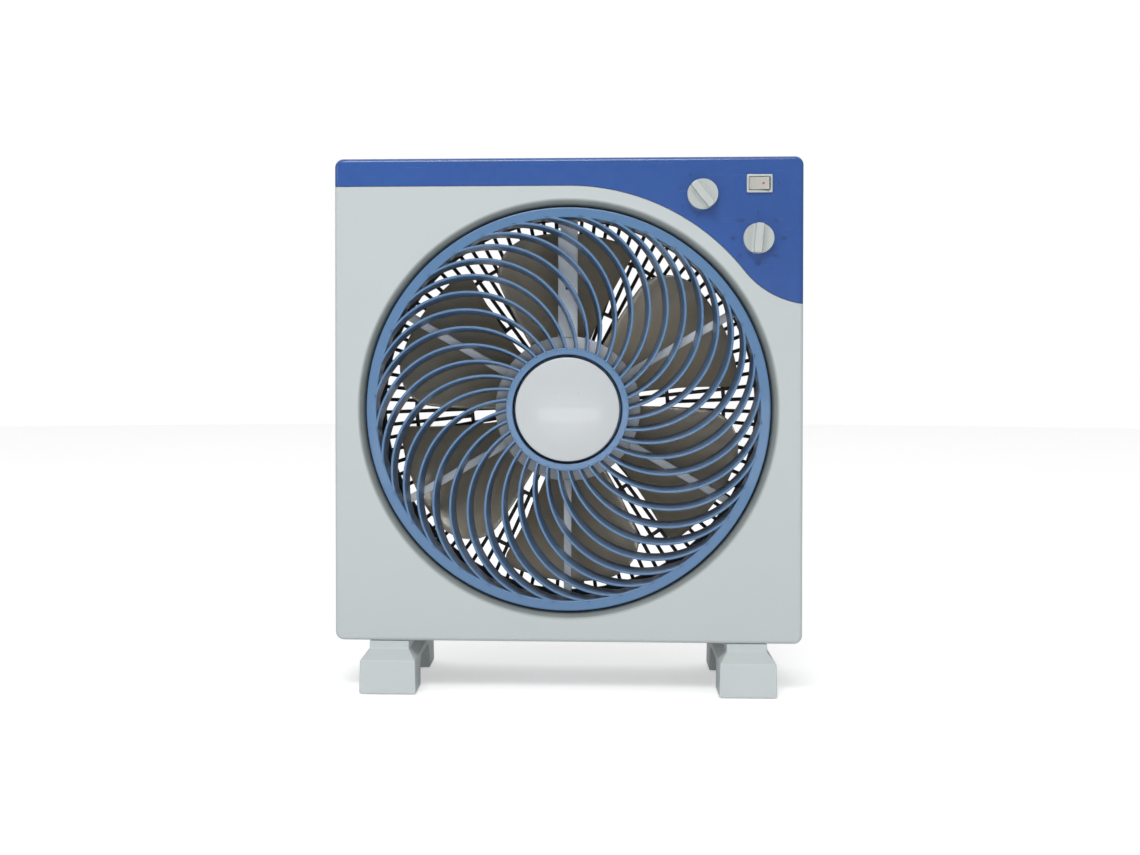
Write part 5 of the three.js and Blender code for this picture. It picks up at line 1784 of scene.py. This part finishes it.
class FAN_OT_feet(bpy.types.Operator):
    """Build the two feet and their rubber pads with rounded edges"""

    bl_idname = "fan.feet"
    bl_label = "Feet"

    def execute(self, context):
        for side in ("left", "right"):
            foot = bevelled(merged_copy(f"{side}_foot_moulding", f"foot_{side}"), 1.3, 3, 20)
            coat(foot, MATERIALS, "casing_white", "housing", f"foot_{side}", look="feet_white")
            for end in ("front", "rear"):
                node = f"foot_pad_{side}_{end}"
                pad = bevelled(merged_copy(f"{side}_{end}_rubber", node), 0.5, 2, 20)
                coat(pad, MATERIALS, "foot_rubber", "housing", node)
        return {"FINISHED"}


class FAN_OT_inner_pieces(bpy.types.Operator):
    """Finish the cord gland and give every piece inside the casing its material"""

    bl_idname = "fan.inner_pieces"
    bl_label = "Inner pieces"

    def execute(self, context):
        low, high = axis_box("cord_gland")
        middle = (low + high) / 2
        y0, y1 = low.y / MM, high.y / MM
        profile = [(3.7, y0), (7.7, y0), (7.7, y1 - 2.4), (10, y1 - 2.4), (9, y1), (3.7, y1)]
        gland = revolve("inlet_gland", profile, 48, radius=0.7, centre=(middle.x, middle.z))
        coat(gland, MATERIALS, "grille_black", "housing", "cord_gland")
        for name in ("capacitor", "speed_switch", "timer"):
            piece = bevelled(merged_copy(f"{name}_case", name), 0.8, 2, 30)
            coat(piece, MATERIALS, "switch_grey", "housing", name)
        slots = {entry["node"]: entry["material_slot"] for entry in frame["record"]["subparts"]}
        for node, piece in frame["nodes"].items():
            piece.data.materials.clear()
            piece.data.materials.append(MATERIALS[slots[node]])
        return {"FINISHED"}


# ---------------------------------------------------------------------------
# Stage
# ---------------------------------------------------------------------------


def area_light(name, place, target, size, power):
    light = bpy.data.lights.new(name, "AREA")
    light.shape = "RECTANGLE"
    light.size, light.size_y = size
    light.energy = power
    made = bpy.data.objects.new(name, light)
    made.location = place
    made.rotation_euler = (Vector(target) - Vector(place)).to_track_quat("-Z", "Y").to_euler()
    bpy.context.scene.collection.objects.link(made)
    return made


def stage_material():
    material = bpy.data.materials.new("pale_floor")
    material.use_nodes = True
    tree = material.node_tree
    principled = tree.nodes["Principled BSDF"]
    coords = add_node(tree, "ShaderNodeTexCoord").outputs["Object"]
    noise = add_node(
        tree, "ShaderNodeTexNoise", {"Vector": coords, "Scale": 3.0, "Detail": 3.0}
    ).outputs["Fac"]
    tone = add_node(tree, "ShaderNodeMapRange", {"Value": noise, "To Min": 0.90, "To Max": 0.93}).outputs[0]
    shade = add_node(tree, "ShaderNodeCombineColor", {0: tone, 1: tone, 2: tone}).outputs[0]
    tree.links.new(shade, principled.inputs["Base Color"])
    principled.inputs["Roughness"].default_value = 0.9
    seen = add_node(tree, "ShaderNodeLightPath").outputs["Is Camera Ray"]
    glow = math_node(tree, "MULTIPLY", seen, 0.42)
    principled.inputs["Emission Color"].default_value = (1, 1, 1, 1)
    tree.links.new(glow, principled.inputs["Emission Strength"])
    return material


class FAN_OT_stage(bpy.types.Operator):
    """Set up the camera, the pale floor, the soft lights and the white surround"""

    bl_idname = "fan.stage"
    bl_label = "Stage"

    def execute(self, context):
        settings = context.scene.fan_studio
        scene = context.scene
        camera_data = bpy.data.cameras.new("camera")
        camera_data.lens = settings.lens
        camera_data.sensor_width = 36.0
        camera_data.shift_x = 0.0655
        camera_data.shift_y = -0.0331
        camera_data.clip_end = 100.0
        camera = bpy.data.objects.new("camera", camera_data)
        camera.location = (0.0222, -1.4729, 0.2758)
        camera.rotation_euler = (math.radians(89.018), math.radians(-0.012), math.radians(3.329))
        scene.collection.objects.link(camera)
        scene.camera = camera

        built = bmesh.new()
        bmesh.ops.create_circle(built, cap_ends=True, radius=6.0, segments=64)
        floor_mesh = bpy.data.meshes.new("floor")
        built.to_mesh(floor_mesh)
        built.free()
        floor_mesh.materials.append(stage_material())
        add_object("floor", floor_mesh)

        area_light("key", (-0.15, -1.5, 1.6), (0, 0, 0.25), (0.9, 0.6), settings.key_power)
        area_light("fill", (-1.7, -1.9, 0.7), (0, 0, 0.25), (0.8, 0.8), settings.fill_power)
        area_light("front", (0.0, -1.9, 0.12), (0, 0, 0.25), (0.8, 0.16), settings.front_power)
        area_light("overhead", (0, 1.5, 6.0), (0, 1.5, 0), (14.0, 14.0), settings.overhead_power)

        world = bpy.data.worlds.new("surround")
        scene.world = world
        world.use_nodes = True
        tree = world.node_tree
        background = tree.nodes["Background"]
        seen = add_node(tree, "ShaderNodeLightPath").outputs["Is Camera Ray"]
        strength = add_node(
            tree, "ShaderNodeMapRange", {"Value": seen, "To Min": settings.surround, "To Max": 1.0}
        ).outputs[0]
        background.inputs["Color"].default_value = (1, 1, 1, 1)
        tree.links.new(strength, background.inputs["Strength"])
        scene.view_settings.view_transform = "Standard"
        return {"FINISHED"}


# ---------------------------------------------------------------------------
# Panel and registration
# ---------------------------------------------------------------------------

PIECE_OPERATORS = (
    FAN_OT_stage,
    FAN_OT_casing,
    FAN_OT_dial_marks,
    FAN_OT_louvre,
    FAN_OT_bracket,
    FAN_OT_impeller,
    FAN_OT_motor,
    FAN_OT_rear_grille,
    FAN_OT_fasteners,
    FAN_OT_controls,
    FAN_OT_feet,
    FAN_OT_inner_pieces,
)
SETTINGS = {
    "fan_casing": FanCasingSettings,
    "fan_louvre": FanLouvreSettings,
    "fan_blower": FanBlowerSettings,
    "fan_finish": FanFinishSettings,
    "fan_studio": FanStudioSettings,
}


class FAN_PT_builder(bpy.types.Panel):
    """Lists the fan's pieces and their settings"""

    bl_idname = "FAN_PT_builder"
    bl_label = "Box Fan"
    bl_space_type = "VIEW_3D"
    bl_region_type = "UI"
    bl_category = "Box Fan"

    def draw(self, context):
        for operator in PIECE_OPERATORS:
            self.layout.operator(operator.bl_idname)
        for name in SETTINGS:
            box = self.layout.box()
            group = getattr(context.scene, name)
            for key in group.__annotations__:
                box.prop(group, key)


CLASSES = (*SETTINGS.values(), *PIECE_OPERATORS, FAN_PT_builder)
MATERIALS = {}


def register():
    for entry in CLASSES:
        bpy.utils.register_class(entry)
    for name, group in SETTINGS.items():
        setattr(bpy.types.Scene, name, PointerProperty(type=group))


def unregister():
    for name in SETTINGS:
        delattr(bpy.types.Scene, name)
    for entry in reversed(CLASSES):
        bpy.utils.unregister_class(entry)


def main():
    register()
    moulded_surface_group()
    edge_wear_and_shade_group()
    metal_surface_group()
    MATERIALS.update(make_materials(bpy.context.scene.fan_finish))
    for operator in PIECE_OPERATORS:
        area, name = operator.bl_idname.split(".")
        getattr(getattr(bpy.ops, area), name)()


if __name__ == "__main__":
    main()
